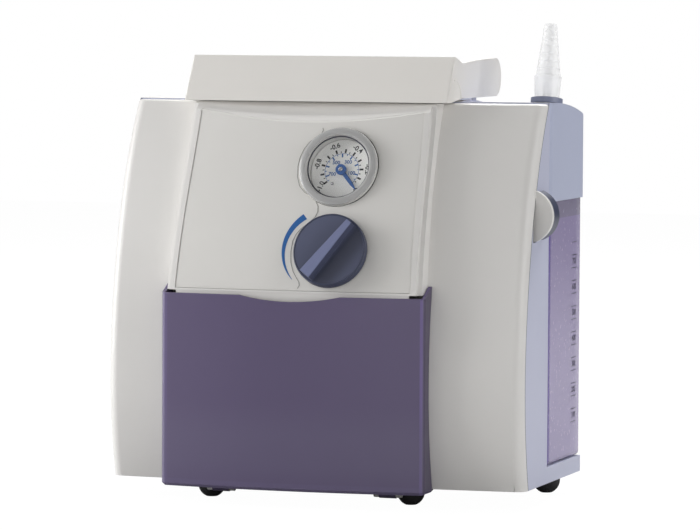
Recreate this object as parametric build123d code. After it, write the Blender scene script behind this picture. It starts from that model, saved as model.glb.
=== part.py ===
"""Portable suction unit with a carrying handle, a tool pocket and a docked 1 litre jar.

Millimetres.  +X is the user's right, +Y runs to the back, +Z is up.  The model is laid out
about a working origin: the middle of the housing's width, the line of the front feet and the
table.  On export everything moves so that the origin is the bottom centre of the whole object.
"""
from build123d import *
import math
import os

# Housing
HOUSING_WIDTH = 306.0       # side plane to side plane
HOUSING_BACK = 128.0        # back face, behind the front feet
FOOT_HEIGHT = 14.0          # table to the underside of the housing
FRONT_TOP = 281.4           # top edge of the front shell
CREST_Y = 74.0              # highest line of the housing's top
CREST_TOP = 282.8
BACK_TOP = 273.0            # height of the top at the back face
WALL = 3.0                  # housing wall
SEAM_GAP = 0.4              # shadow gap between the front shell and the rear housing
CORNER_R = 8.0              # rounding of the front shell's upright corners
TOP_R = 2.5                 # rounding of the front shell's top edge
FRONT_SAG = 6.0             # the front stands this much further forward at mid width

# The seam's outline seen from the side: distance behind the front feet at each height
SEAM_LINE = [(-9.6, FOOT_HEIGHT), (-19.6, 85.0), (-14.5, 145.0), (-5.4, 187.0), (12.8, 239.0),
             (36.6, FRONT_TOP)]
SHELL_LIP = 9.0             # front face to seam, at the side plane

# Console: the raised middle of the front shell, left of the housing's centre line
CONSOLE_X = -9.6
CONSOLE_HALF_TOP = 90.0
CONSOLE_HALF_BASE = 93.8
CONSOLE_LINE = [(-42.0, 150.0), (-34.5, 180.0), (-22.5, 214.0), (-5.5, 255.0), (3.7, FRONT_TOP)]
CONSOLE_BOTTOM = 150.0
CONSOLE_DRAFT = 3.0         # how much narrower the console's front is than its foot, each side
PANEL_RIM = 4.2             # land left round the inset panel
PANEL_THICK = 1.2
PANEL_STEP = 0.5            # how far the panel lies below the rim
SCOOP_R = 1050.0            # finger scoop under the grip
SCOOP_FRONT = -8.0          # plane just ahead of the console, where the scoop starts
SCOOP_DEPTH = 15.0          # its depth below the top edge, at the middle

# Gauge, on the panel's normal
GAUGE_X = 16.5
GAUGE_Z = 236.8
GAUGE_FLANGE_R = 28.6
GAUGE_BODY_R = 24.6
GAUGE_DEPTH = 26.0
GAUGE_PROUD = 3.2

# Vacuum regulator knob
KNOB_X = 18.8
KNOB_Z = 178.5
KNOB_R = 26.0
KNOB_PROUD = 12.0
KNOB_GRIP_WIDTH = 8.6       # across the grip bar at its thick end
KNOB_GRIP_THIN = 4.2        # and at its thin end, which points to the setting
KNOB_GRIP_TURN = 36.0       # the grip bar leans this far from upright
STEM_R = 3.0
STEM_LIFT = 1.2             # valve needle travel over the knob's sweep
PANEL_TILT = 20.0           # lean of the gauge and knob axes from level

# Accessory pocket
POCKET_HALF = 97.0
POCKET_BOTTOM = 11.5
POCKET_TOP = 148.0
POCKET_WING = 9.0           # the side walls rise this much above the front
POCKET_FRONT = -44.0        # front corners
POCKET_BULGE = 8.0          # the front stands this much further forward at mid width
POCKET_BACK = -20.0
POCKET_WALL = 2.6
POCKET_NOTCH_HALF = 37.0
POCKET_NOTCH = 4.0
POCKET_CORNER_R = 4.0
POCKET_SILL = 2.0           # bevel along the front's lower edge
POCKET_BACK_TOP = 122.0     # top of the pocket's back wall
HINGE_Y = -14.0             # tilt axis, under the shell's lower edge
HINGE_Z = 9.4
HINGE_PIN_R = 1.6
HINGE_EYE_R = 4.0
HINGE_WIDTH = 12.0
HINGE_SPREAD = 62.0

# Carrying handle
HANDLE_HALF = 97.8
HANDLE_BASE = 284.6         # underside of the arms, just clear of the crest
HANDLE_FRONT = 4.0          # foot of the front plate
HANDLE_LEAN = 20.0          # the plate's top lies this much further back
HANDLE_TOP = 314.0
HANDLE_FOOT = 2.6           # the front plate reaches this much lower than the arms
GRIP_BACK = 42.0
GRIP_SAG = 4.5              # the side walls' top lies this much under the grip's
GRIP_DIP = HANDLE_TOP - GRIP_SAG
ARM_WIDTH = 15.0
HANDLE_PIVOT_Y = 125.5
HANDLE_PIVOT_Z = 298.4
HANDLE_PIVOT_PIN_R = 4.0
HANDLE_WALL = 4.0

# Canister bay and jar
BAY_X = 88.0                # left wall of the bay
BAY_Y = 38.5                # front wall of the bay
BAY_FLOOR = 25.5
JAR_GAP = 2.6               # jar to the bay walls
JAR_INSET = 1.2             # jar to the housing's right side plane
JAR_BACK = 132.4            # the jar stands out behind the bay
JAR_WALL = 2.2
JAR_TOP = 217.0
SEAL_THICK = 1.2
LID_LAP = 4.5               # the lid's skirt covers this much of the jar
LID_WALL = 2.4
LID_GAP = 0.7               # lid to the bay walls
LID_OVERHANG = 0.4          # the lid stands this far out of the right side plane
LID_BACK = 134.0            # back of the lid, which overhangs the housing

# Hose connector on the lid
SPOUT_X = 138.0
SPOUT_Y = 84.0
SPOUT_LEAN = 10.0           # the cone leans back, square to the sloping lid
SPOUT_BORE_R = 3.0
SPOUT_STEPS = 7
SPOUT_STEP = 5.4
SPOUT_TIP_R = 4.6
SPOUT_BASE_R = 9.0
SPOUT_COLLAR_R = 9.3
SPOUT_COLLAR = 15.6
SPOUT_RING_R = 11.4
SPOUT_RING = 4.0
SPOUT_SEAT = -0.1           # underside of the ring, along the axis from the lid's top

# Hose rest at the right side: an ear of the shell with a round peg behind it
EAR_INSET = 6.8             # the ear's axis lies this much inside the housing's side plane
EAR_X = HOUSING_WIDTH / 2 - EAR_INSET
EAR_Z = 204.3
EAR_R = 19.0
EAR_FRONT = 4.0
EAR_THICK = 4.5
PEG_THICK = 17.0

# Feet
FOOT_R = 9.8
FOOT_FLAT = 0.8             # the dome is cut off this much to stand on
FRONT_FOOT_SPREAD = 74.4
REAR_FOOT_X = 134.0
REAR_FOOT_Y = 106.0

# Fits
RUNNING_FIT = 0.05          # radial clearance of a shaft in its bore
LOOSE_FIT = 0.3             # clearance between parts that move past each other
SEAT_GAP = 0.3              # seat clearance between fixed neighbours

HALF = HOUSING_WIDTH / 2
TILT = math.radians(PANEL_TILT)
PANEL_AXIS = Vector(0, -math.cos(TILT), math.sin(TILT))


def box(x0, x1, y0, y1, z0, z1):
    """Block between two corners."""
    return Pos((x0 + x1) / 2, (y0 + y1) / 2, (z0 + z1) / 2) * Box(x1 - x0, y1 - y0, z1 - z0)


def rod(radius, start, axis, length):
    """Cylinder of the given length that starts at a point and runs along an axis."""
    plane = Plane(origin=start, z_dir=axis)
    return plane * (Pos(0, 0, length / 2) * Cylinder(radius, length))


def tube(outer, bore, start, axis, length):
    """Plain tube from a point along an axis."""
    over = 1.0
    back = Vector(*start) - Vector(*axis).normalized() * over
    return rod(outer, start, axis, length) - rod(bore, back, axis, length + 2 * over)


def side_face(x, points, closing):
    """Face in an upright plane square to X: a smooth line through points, then straight runs."""
    line = Spline(*[Vector(x, y, z) for y, z in points])
    first, last = points[0], points[-1]
    corners = [last] + closing + [first]
    runs = Polyline(*[Vector(x, y, z) for y, z in corners])
    return make_face(line.edges() + runs.edges())


def bowed_block(line, x0, x1, sag, closing, middle=None):
    """Solid across the width whose front follows a side outline and bows forward in plan."""
    middle = (x0 + x1) / 2 if middle is None else middle
    ends = max(middle - x0, x1 - middle)
    stations = [x0, (x0 + middle) / 2, middle, (middle + x1) / 2, x1]
    faces = []
    for x in stations:
        push = sag * (1 - ((x - middle) / ends) ** 2)
        faces.append(side_face(x, [(y - push, z) for y, z in line], closing))
    return loft(faces)


def seam_prism(offset):
    """Everything behind the seam line moved back by offset, as a block across the width."""
    reach = HALF + 20
    line = [(y + offset, z) for y, z in SEAM_LINE]
    low, high = line[0], line[-1]
    pts = [(low[0], low[1] - 30), low]
    curve = Spline(*[Vector(-reach, y, z) for y, z in line])
    corners = [high, (high[0] + 12, high[1] + 30), (400, high[1] + 30), (400, low[1] - 30), pts[0], low]
    runs = Polyline(*[Vector(-reach, y, z) for y, z in corners])
    return extrude(make_face(curve.edges() + runs.edges()), amount=2 * reach, dir=(1, 0, 0))


def top_prism(drop, x0, x1, back, floor):
    """Block under the housing's cambered top, lowered by drop."""
    crest = Spline(
        Vector(x0, -60, FRONT_TOP - 3 - drop),
        Vector(x0, 30, FRONT_TOP + 0.6 - drop),
        Vector(x0, CREST_Y, CREST_TOP - drop),
        Vector(x0, back, BACK_TOP - drop))
    runs = Polyline(
        Vector(x0, back, BACK_TOP - drop), Vector(x0, back, floor),
        Vector(x0, -60, floor), Vector(x0, -60, FRONT_TOP - 3 - drop))
    return extrude(make_face(crest.edges() + runs.edges()), amount=x1 - x0, dir=(1, 0, 0))


def shell_front_line(inset=0.0):
    """Side outline of the front face: the seam line brought forward by the shell's lip."""
    return [(y - SHELL_LIP + inset, z) for y, z in SEAM_LINE]


def console_line(inset=0.0):
    """Side outline of the console's front, moved back by inset."""
    return [(y + inset, z) for y, z in CONSOLE_LINE]


def console_block(inset, half_top, half_base, bottom, top):
    """Raised console between its tapering sides, with its front moved back by inset."""
    slab = bowed_block(
        console_line(inset), CONSOLE_X - 110, CONSOLE_X + 110, FRONT_SAG,
        [(40, FRONT_TOP), (40, CONSOLE_BOTTOM)])
    low = [(CONSOLE_X - half_base, bottom), (CONSOLE_X + half_base, bottom)]
    high = [(CONSOLE_X + half_top, top), (CONSOLE_X - half_top, top)]
    outline = Polyline(*[Vector(x, -80, z) for x, z in low + high], close=True)
    return slab & extrude(make_face(outline), amount=130, dir=(0, 1, 0))


def front_shell():
    """Front shell: bowed face with rounded corners, the console, and a hollow back."""
    floor, width = FOOT_HEIGHT, HALF
    behind = 60.0
    outer = bowed_block(shell_front_line(), -width, width, FRONT_SAG,
                        [(behind, FRONT_TOP), (behind, floor)])
    corners = outer.edges().filter_by(lambda e: abs(abs(e.center().X) - width) < 0.1
                                      and e.bounding_box().size.Z > 200
                                      and e.center().Y < 20)
    outer = fillet(corners, CORNER_R)
    top_front = outer.edges().filter_by(lambda e: abs(e.center().Z - FRONT_TOP) < 0.5
                                        and e.bounding_box().size.X > 200
                                        and e.center().Y < 40)
    outer = fillet(top_front, TOP_R)
    raised = console_block(0, CONSOLE_HALF_TOP - CONSOLE_DRAFT, CONSOLE_HALF_BASE - CONSOLE_DRAFT,
                           CONSOLE_BOTTOM, FRONT_TOP)
    foot = console_block(4, CONSOLE_HALF_TOP, CONSOLE_HALF_BASE, CONSOLE_BOTTOM, FRONT_TOP)
    inner = bowed_block(shell_front_line(WALL), -width + WALL, width - WALL, FRONT_SAG,
                        [(behind + 30, FRONT_TOP), (behind + 30, floor)])
    inner &= box(-200, 200, -100, 200, floor + WALL, FRONT_TOP - WALL)
    inner_console = console_block(WALL + PANEL_THICK + PANEL_STEP, CONSOLE_HALF_TOP - 2 * WALL,
                                  CONSOLE_HALF_BASE - 2 * WALL, CONSOLE_BOTTOM + WALL,
                                  FRONT_TOP - SCOOP_DEPTH - 2 * WALL)
    body = (outer + raised + foot) - seam_prism(0) - inner - inner_console
    body -= pocket_recess()
    body += pocket_recess_walls()
    body -= panel_space(PANEL_STEP + PANEL_THICK)
    body -= scoop()
    body -= fitting_holes()
    return body + ear()


def fitting_holes():
    """Holes for the gauge and the regulator, with flat seats for the flange and the knob."""
    holes = rod(GAUGE_BODY_R + SEAT_GAP, panel_point(GAUGE_X, GAUGE_Z, 30), PANEL_AXIS, 60)
    holes += rod(GAUGE_FLANGE_R + SEAT_GAP, panel_point(GAUGE_X, GAUGE_Z, -0.35), PANEL_AXIS, 30)
    holes += rod(STEM_R + 3.5, panel_point(KNOB_X, KNOB_Z, 30), PANEL_AXIS, 60)
    holes += rod(KNOB_R + 0.6, panel_point(KNOB_X, KNOB_Z, -0.8), PANEL_AXIS, 30)
    return holes


def panel_point(x, z, depth=0.0):
    """Point on the console's front at a height, pushed in by depth along the panel's axis."""
    points = sorted(CONSOLE_LINE, key=lambda p: p[1])
    for (y0, z0), (y1, z1) in zip(points, points[1:]):
        if z0 <= z <= z1:
            y = y0 + (y1 - y0) * (z - z0) / (z1 - z0)
    push = FRONT_SAG * (1 - ((x - CONSOLE_X) / 110) ** 2)
    return Vector(x, y - push, z) - PANEL_AXIS * depth


def pocket_recess():
    """Room in the shell behind the pocket, so that the pocket has depth."""
    half = POCKET_HALF - POCKET_WALL
    return box(CONSOLE_X - half, CONSOLE_X + half, -100, POCKET_BACK + SEAT_GAP,
               POCKET_BOTTOM - 5, CONSOLE_BOTTOM - 1)


def pocket_recess_walls():
    """Roof, sides and back of the recess, as thick as the shell."""
    half = POCKET_HALF - POCKET_WALL
    high = CONSOLE_BOTTOM - 1
    back = POCKET_BACK + SEAT_GAP
    outer = box(CONSOLE_X - half - WALL, CONSOLE_X + half + WALL, -60, back + WALL,
                FOOT_HEIGHT, high + WALL)
    face = bowed_block(shell_front_line(0.5), -HALF, HALF, FRONT_SAG,
                       [(60, FRONT_TOP), (60, FOOT_HEIGHT)])
    return ((outer - pocket_recess()) & face) - seam_prism(0)


def panel_space(depth):
    """Space of the inset panel, from in front of the console to the given depth."""
    taper = CONSOLE_DRAFT + PANEL_RIM
    low, high = CONSOLE_BOTTOM + 1.5, FRONT_TOP - 2.0
    half_low, half_high = CONSOLE_HALF_BASE - taper, CONSOLE_HALF_TOP - taper
    outline = Polyline(
        Vector(CONSOLE_X - half_low, -90, low), Vector(CONSOLE_X + half_low, -90, low),
        Vector(CONSOLE_X + half_high, -90, high), Vector(CONSOLE_X - half_high, -90, high),
        close=True)
    prism = extrude(make_face(outline), amount=150, dir=(0, 1, 0))
    behind = bowed_block(console_line(depth), CONSOLE_X - 110, CONSOLE_X + 110, FRONT_SAG,
                         [(60, FRONT_TOP), (60, CONSOLE_BOTTOM)])
    return prism - behind


def scoop():
    """Finger scoop under the grip: a shallow round cut that slopes back into the console."""
    low = FRONT_TOP - SCOOP_DEPTH
    disc = Pos(CONSOLE_X, 0, low + SCOOP_R) * Rot(90, 0, 0) * Cylinder(SCOOP_R, 2)
    disc &= box(CONSOLE_X - 92, CONSOLE_X + 92, -5, 5, low - 5, FRONT_TOP + 20)
    face = Pos(0, SCOOP_FRONT + 1, 0) * disc
    front = face.faces().sort_by(Axis.Y)[0]
    return extrude(front, amount=42, dir=(0, 0.8, 0.6))


def ear():
    """Half-round ear of the shell at the right side, in front of the hose peg."""
    disc = rod(EAR_R, (EAR_X, EAR_FRONT, EAR_Z), (0, 1, 0), EAR_THICK)
    return disc & box(EAR_X - 14, EAR_X + 40, EAR_FRONT - 5, 60, EAR_Z - 30, EAR_Z + 30)


def hose_peg():
    """Round peg behind the ear, on which the suction hose is hung; it stands on the housing."""
    start = EAR_FRONT + EAR_THICK + 0.05
    disc = rod(EAR_R - 0.5, (EAR_X, start, EAR_Z), (0, 1, 0), PEG_THICK)
    disc = fillet(disc.edges().sort_by(Axis.Y)[-1], 1.5)
    return disc & box(HALF + 0.05, HALF + 60, 0, 60, EAR_Z - 30, EAR_Z + 30)


def control_panel():
    """Thin inset panel on the console, with round windows for the gauge and the knob."""
    plate = panel_space(PANEL_STEP + PANEL_THICK - 0.05) - panel_space(PANEL_STEP)
    taper = 0.15
    low, high = CONSOLE_BOTTOM + 1.5 + taper, FRONT_TOP - 2.0 - taper
    half_low = CONSOLE_HALF_BASE - CONSOLE_DRAFT - PANEL_RIM - taper
    half_high = CONSOLE_HALF_TOP - CONSOLE_DRAFT - PANEL_RIM - taper
    outline = Polyline(
        Vector(CONSOLE_X - half_low, -90, low), Vector(CONSOLE_X + half_low, -90, low),
        Vector(CONSOLE_X + half_high, -90, high), Vector(CONSOLE_X - half_high, -90, high),
        close=True)
    plate &= extrude(make_face(outline), amount=150, dir=(0, 1, 0))
    plate -= Pos(0, -0.6, -0.6) * scoop()
    return plate - fitting_holes()


def rear_housing():
    """Rear housing: cambered top, open front, and the bay cut out of its right rear corner."""
    outer = top_prism(0, -HALF, HALF, HOUSING_BACK, FOOT_HEIGHT) & seam_prism(SEAM_GAP)
    inner = top_prism(WALL, -HALF + WALL, HALF - WALL, HOUSING_BACK - WALL, FOOT_HEIGHT + WALL)
    bay = bay_space(0)
    walls = bay_space(WALL)
    body = outer - bay - (inner - walls)
    body -= rod(EAR_R + 0.4, (EAR_X, EAR_FRONT - 6, EAR_Z), (0, 1, 0), EAR_THICK + 6.4) & box(
        EAR_X - 14.4, 200, -20, 60, EAR_Z - 30, EAR_Z + 30)
    body -= inlet_cutout()
    body -= switch_cutout()
    for row in range(5):
        z = 60 + row * 9.0
        body -= box(-128, -78, HOUSING_BACK - 5, HOUSING_BACK + 5, z, z + 4)
    body -= rod(SEAL_R + SEAT_GAP, (BAY_X - 10, PORT_Y, PORT_Z), (1, 0, 0), 14)
    for x, y in foot_places():
        body -= rod(FOOT_PIN_R + 0.05, (x, y, FOOT_HEIGHT - 2), (0, 0, 1), WALL + 6)
    return body


def bay_space(grow):
    """Room for the jar and its lid, open to the right, the back and the top."""
    return box(BAY_X - grow, HALF + 40, BAY_Y - grow, HOUSING_BACK + 40, BAY_FLOOR - grow, CREST_TOP + 40)


def foot_places():
    """Centres of the four feet."""
    return [(CONSOLE_X - FRONT_FOOT_SPREAD, 0), (CONSOLE_X + FRONT_FOOT_SPREAD, 0),
            (-REAR_FOOT_X, REAR_FOOT_Y), (REAR_FOOT_X, REAR_FOOT_Y)]


PORT_R = 6.0                # suction port in the lid's left wall
NOZZLE_R = 4.5              # docking nozzle behind it, in the bay wall
SEAL_R = 8.5
PORT_Y = 96.0
PORT_Z = 238.0
FOOT_PIN_R = 3.0


def rubber_feet():
    """Four domed rubber feet with pins that press through the floor."""
    feet = []
    for x, y in foot_places():
        dome = Pos(x, y, FOOT_R - FOOT_FLAT) * Sphere(FOOT_R)
        dome &= box(x - 20, x + 20, y - 20, y + 20, 0, FOOT_HEIGHT)
        neck = rod(FOOT_R, (x, y, FOOT_R - FOOT_FLAT), (0, 0, 1), FOOT_HEIGHT - FOOT_R + FOOT_FLAT - 0.05)
        pin = rod(FOOT_PIN_R, (x, y, FOOT_HEIGHT - 1), (0, 0, 1), WALL + 2)
        feet.append(dome + neck + pin)
    return feet


def pressure_gauge():
    """Round gauge case in the panel: body behind, flange ring in front."""
    centre = panel_point(GAUGE_X, GAUGE_Z)
    case = rod(GAUGE_BODY_R, centre - PANEL_AXIS * GAUGE_DEPTH, PANEL_AXIS, GAUGE_DEPTH)
    ring = rod(GAUGE_FLANGE_R, centre + PANEL_AXIS * 0.4, PANEL_AXIS, GAUGE_PROUD - 0.4)
    ring = fillet(ring.edges().sort_by(lambda e: e.center().dot(PANEL_AXIS))[-1], 1.2)
    well = rod(GAUGE_BODY_R - 1.6, centre - PANEL_AXIS * 8, PANEL_AXIS, 30)
    neck = rod(GAUGE_BODY_R, centre - PANEL_AXIS * 1, PANEL_AXIS, 2.4)
    bore = rod(1.0 + RUNNING_FIT, centre - PANEL_AXIS * 22, PANEL_AXIS, 30)
    spigot = rod(4, centre - PANEL_AXIS * (GAUGE_DEPTH + 10), PANEL_AXIS, 10.5)
    return case + ring + neck + spigot - well - bore


def gauge_dial():
    """White dial disc in the gauge's well."""
    centre = panel_point(GAUGE_X, GAUGE_Z)
    disc = rod(GAUGE_BODY_R - 1.9, centre - PANEL_AXIS * 7.95, PANEL_AXIS, 1.0)
    return disc - rod(1.0 + LOOSE_FIT, centre - PANEL_AXIS * 22, PANEL_AXIS, 30)


def gauge_needle():
    """Needle with its hub, and the spindle that carries it, pointing to zero."""
    centre = panel_point(GAUGE_X, GAUGE_Z)
    plane = Plane(origin=centre - PANEL_AXIS * 5.6, x_dir=(1, 0, 0), z_dir=PANEL_AXIS)
    hub = plane * (Pos(0, 0, 0.9) * Cylinder(3.8, 1.8))
    blade = Polyline((-1.5, 0), (1.5, 0), (1.2, -13.5), (0.3, -18.5), (-0.3, -18.5), (-1.2, -13.5),
                     close=True)
    arm = extrude(make_face(blade), amount=0.8)
    arm = plane * (Rot(0, 0, NEEDLE_REST) * arm)
    pin = rod(1.0, centre - PANEL_AXIS * 20, PANEL_AXIS, 15)
    return hub + arm + pin


NEEDLE_REST = 40.0          # the needle points down and to the right at zero


def gauge_lens():
    """Clear window held in the flange ring."""
    centre = panel_point(GAUGE_X, GAUGE_Z)
    return rod(GAUGE_BODY_R - 1.65, centre - PANEL_AXIS * 0.6, PANEL_AXIS, 2.0)


def regulator_knob():
    """Round knob with a wedge grip across it, on the stem of the regulator."""
    centre = panel_point(KNOB_X, KNOB_Z)
    plane = Plane(origin=centre + PANEL_AXIS * 1.2, x_dir=(1, 0, 0), z_dir=PANEL_AXIS)
    base = Pos(0, 0, KNOB_PROUD / 4) * Cylinder(KNOB_R, KNOB_PROUD / 2)
    base = chamfer(base.edges().sort_by(Axis.Z)[-1], 1.2)
    low, half, end = KNOB_GRIP_WIDTH / 2 + 2.5, KNOB_GRIP_WIDTH / 2, KNOB_R - 2.0
    section = [(-low, 0), (low, 0), (half, KNOB_PROUD), (-half, KNOB_PROUD)]
    thin = KNOB_GRIP_THIN / KNOB_GRIP_WIDTH
    ends = []
    for place, share in ((-end, 1.0), (end, thin)):
        outline = [(x * share, z) for x, z in section]
        ends.append(make_face(Polyline(*[Vector(x, place, z) for x, z in outline], close=True)))
    grip = loft(ends)
    grip &= Pos(0, 0, KNOB_PROUD / 2) * Cylinder(KNOB_R - 1.6, KNOB_PROUD)
    knob = base + Pos(0, 0, 0) * (Rot(0, 0, -KNOB_GRIP_TURN) * grip)
    knob = plane * knob
    return knob - rod(STEM_R, centre - PANEL_AXIS * 4, PANEL_AXIS, 9)


def regulator_stem():
    """Stem that carries the knob and runs back into the regulator."""
    centre = panel_point(KNOB_X, KNOB_Z)
    return rod(STEM_R, centre - PANEL_AXIS * 22, PANEL_AXIS, 27)


def regulator_body():
    """Vacuum regulator behind the panel: threaded boss, chamber and two hose spigots."""
    centre = panel_point(KNOB_X, KNOB_Z)
    boss = rod(STEM_R + 3.2, centre - PANEL_AXIS * 9, PANEL_AXIS, 9.8)
    chamber = rod(15, centre - PANEL_AXIS * 36, PANEL_AXIS, 28)
    side = Vector(1, 0, 0)
    spigots = rod(3.5, centre - PANEL_AXIS * 28 + side * 14, side, 12)
    spigots += rod(3.5, centre - PANEL_AXIS * 28 - side * 14, -side, 12)
    body = boss + chamber + spigots
    body -= rod(STEM_R + RUNNING_FIT, centre - PANEL_AXIS * 24, PANEL_AXIS, 30)
    body -= rod(6.0, centre - PANEL_AXIS * 34, PANEL_AXIS, 12.0 + STEM_LIFT / 2)
    return body


def regulator_needle():
    """Tapered valve needle, lifted by the stem as the knob turns."""
    centre = panel_point(KNOB_X, KNOB_Z)
    length = 10.0
    tip = 22.2 + STEM_LIFT / 2 + length
    plane = Plane(origin=centre - PANEL_AXIS * tip, z_dir=PANEL_AXIS)
    return plane * (Pos(0, 0, length / 2) * Cone(1.2, 3.5, length))


def accessory_pocket():
    """Clear tinted pocket that hangs on the front: bowed front, wings, and a thumb notch."""
    def plan(inset, back):
        half = POCKET_HALF - inset
        y = POCKET_FRONT + inset
        front = ThreePointArc(Vector(CONSOLE_X - half, y, 0),
                              Vector(CONSOLE_X, y - POCKET_BULGE, 0),
                              Vector(CONSOLE_X + half, y, 0))
        runs = Polyline(Vector(CONSOLE_X + half, y, 0), Vector(CONSOLE_X + half, back, 0),
                        Vector(CONSOLE_X - half, back, 0), Vector(CONSOLE_X - half, y, 0))
        return make_face(front.edges() + runs.edges())
    rise = POCKET_TOP + POCKET_WING - POCKET_BOTTOM
    outer = extrude(Pos(0, 0, POCKET_BOTTOM) * plan(0, POCKET_BACK), amount=rise)
    uprights = outer.edges().filter_by(Axis.Z).filter_by(lambda e: e.center().Y < POCKET_FRONT + 1)
    outer = fillet(uprights, POCKET_CORNER_R)
    sill = outer.faces().sort_by(Axis.Z)[0].edges().filter_by(lambda e: e.center().Y < POCKET_FRONT + 2)
    outer = chamfer(sill, POCKET_SILL)
    inner = extrude(Pos(0, 0, POCKET_BOTTOM + POCKET_WALL) * plan(POCKET_WALL, POCKET_BACK - POCKET_WALL),
                    amount=rise)
    shape = outer - inner
    front_cut = box(-200, 200, -80, POCKET_FRONT + POCKET_WALL + 0.2, POCKET_TOP, POCKET_TOP + 40)
    slope = Polyline(Vector(-200, POCKET_FRONT + POCKET_WALL, POCKET_TOP),
                     Vector(-200, POCKET_BACK + 5, POCKET_TOP + POCKET_WING + 4),
                     Vector(-200, POCKET_BACK + 5, POCKET_TOP + 60),
                     Vector(-200, POCKET_FRONT + POCKET_WALL, POCKET_TOP + 60), close=True)
    shape -= front_cut + extrude(make_face(slope), amount=400, dir=(1, 0, 0))
    back_half = POCKET_HALF - POCKET_WALL + 0.01
    shape -= box(CONSOLE_X - back_half, CONSOLE_X + back_half, POCKET_BACK - POCKET_WALL - 0.01,
                 POCKET_BACK + 10, POCKET_BACK_TOP, POCKET_TOP + 60)
    chord = POCKET_NOTCH_HALF
    notch_r = (chord ** 2 + POCKET_NOTCH ** 2) / (2 * POCKET_NOTCH)
    notch = rod(notch_r, (CONSOLE_X, -90, POCKET_TOP - POCKET_NOTCH + notch_r), (0, 1, 0), 60)
    shape -= notch
    face = bowed_block(shell_front_line(-SEAT_GAP), -HALF, HALF, FRONT_SAG,
                       [(60, FRONT_TOP), (60, FOOT_HEIGHT - 6)])
    room = pocket_recess() & box(CONSOLE_X - half_back(), CONSOLE_X + half_back(), -100, 60, 0, 200)
    shape -= face - room
    for x in hinge_places():
        shape += box(x - HINGE_WIDTH / 2, x + HINGE_WIDTH / 2, POCKET_BACK - 3, HINGE_Y,
                     HINGE_Z, HINGE_Z + HINGE_EYE_R - 0.6)
        shape += rod(HINGE_EYE_R, (x - HINGE_WIDTH / 2, HINGE_Y, HINGE_Z), (1, 0, 0), HINGE_WIDTH)
        shape -= rod(HINGE_PIN_R + RUNNING_FIT, (x - 20, HINGE_Y, HINGE_Z), (1, 0, 0), 40)
    return shape


def hinge_places():
    """Centres of the pocket's two hinges across the width."""
    return [CONSOLE_X - HINGE_SPREAD, CONSOLE_X + HINGE_SPREAD]


def pocket_hinges():
    """Two hinge brackets under the shell, each with a pin through the pocket's eye."""
    brackets = []
    for x in hinge_places():
        inner, outer = HINGE_WIDTH / 2 + LOOSE_FIT, HINGE_WIDTH / 2 + 4
        pin = rod(HINGE_PIN_R, (x - outer, HINGE_Y, HINGE_Z), (1, 0, 0), 2 * outer)
        for sign in (-1, 1):
            low, high = sorted((x + sign * inner, x + sign * outer))
            pin += box(low, high, HINGE_Y - 3.5, HINGE_Y + 3.5, HINGE_Z, FOOT_HEIGHT - 0.05)
            pin += rod(3.5, (low, HINGE_Y, HINGE_Z), (1, 0, 0), high - low)
        brackets.append(pin)
    return brackets


def half_back():
    """Half width of the pocket's back, inside the recess of the shell."""
    return POCKET_HALF - POCKET_WALL - LOOSE_FIT


def handle():
    """Swinging handle: leaning front grip, two side arms and the rounded rear ends."""
    def side(inset):
        line = [(HANDLE_FRONT + inset, HANDLE_BASE - HANDLE_FOOT), (HANDLE_FRONT + HANDLE_LEAN + inset * 0.7, HANDLE_TOP - inset)]
        back = [(GRIP_BACK, GRIP_DIP - inset), (72, GRIP_DIP + 1.4 - inset),
                (HANDLE_PIVOT_Y, 2 * HANDLE_PIVOT_Z - HANDLE_BASE - inset)]
        arc_r = HANDLE_PIVOT_Z - HANDLE_BASE - inset
        return line, back, arc_r
    line, back, arc_r = side(0)
    top = Polyline(*[Vector(0, y, z) for y, z in line + back[:1]])
    camber = Spline(*[Vector(0, y, z) for y, z in back])
    last = back[-1]
    end = ThreePointArc(Vector(0, last[0], last[1]), Vector(0, HANDLE_PIVOT_Y + arc_r, HANDLE_PIVOT_Z),
                        Vector(0, HANDLE_PIVOT_Y, HANDLE_PIVOT_Z - arc_r))
    under = Polyline(Vector(0, HANDLE_PIVOT_Y, HANDLE_BASE), Vector(0, 40, HANDLE_BASE),
                     Vector(0, 14, HANDLE_BASE - HANDLE_FOOT), Vector(0, line[0][0], line[0][1]))
    face = make_face(top.edges() + camber.edges() + end.edges() + under.edges())
    solid = extrude(Pos(CONSOLE_X - HANDLE_HALF, 0, 0) * face, amount=2 * HANDLE_HALF, dir=(1, 0, 0))
    inner_x = HANDLE_HALF - ARM_WIDTH
    solid -= box(CONSOLE_X - inner_x, CONSOLE_X + inner_x, GRIP_BACK - 4, 200, 250, 350)
    hollow = Polyline(Vector(0, HANDLE_FRONT + HANDLE_WALL + 3, HANDLE_BASE - 8),
                      Vector(0, HANDLE_FRONT + HANDLE_LEAN + HANDLE_WALL + 0.5, HANDLE_TOP - HANDLE_WALL - 2),
                      Vector(0, GRIP_BACK - 4 - HANDLE_WALL, GRIP_DIP - HANDLE_WALL - 0.5),
                      Vector(0, GRIP_BACK - 4 - HANDLE_WALL, HANDLE_BASE - 8), close=True)
    solid -= extrude(Pos(CONSOLE_X - inner_x, 0, 0) * make_face(hollow), amount=2 * inner_x, dir=(1, 0, 0))
    for sign in (-1, 1):
        x = CONSOLE_X + sign * (HANDLE_HALF - ARM_WIDTH - 1)
        start = x if sign > 0 else x - 0
        solid -= rod(HANDLE_PIVOT_PIN_R + RUNNING_FIT, (start, HANDLE_PIVOT_Y, HANDLE_PIVOT_Z),
                     (sign, 0, 0), ARM_WIDTH - 3)
    edges = solid.edges().filter_by(lambda e: abs(abs(e.center().X - CONSOLE_X) - HANDLE_HALF) < 0.05
                                    and e.center().Y < 30 and e.center().Z > HANDLE_BASE)
    return fillet(edges, 1.2)


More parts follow.
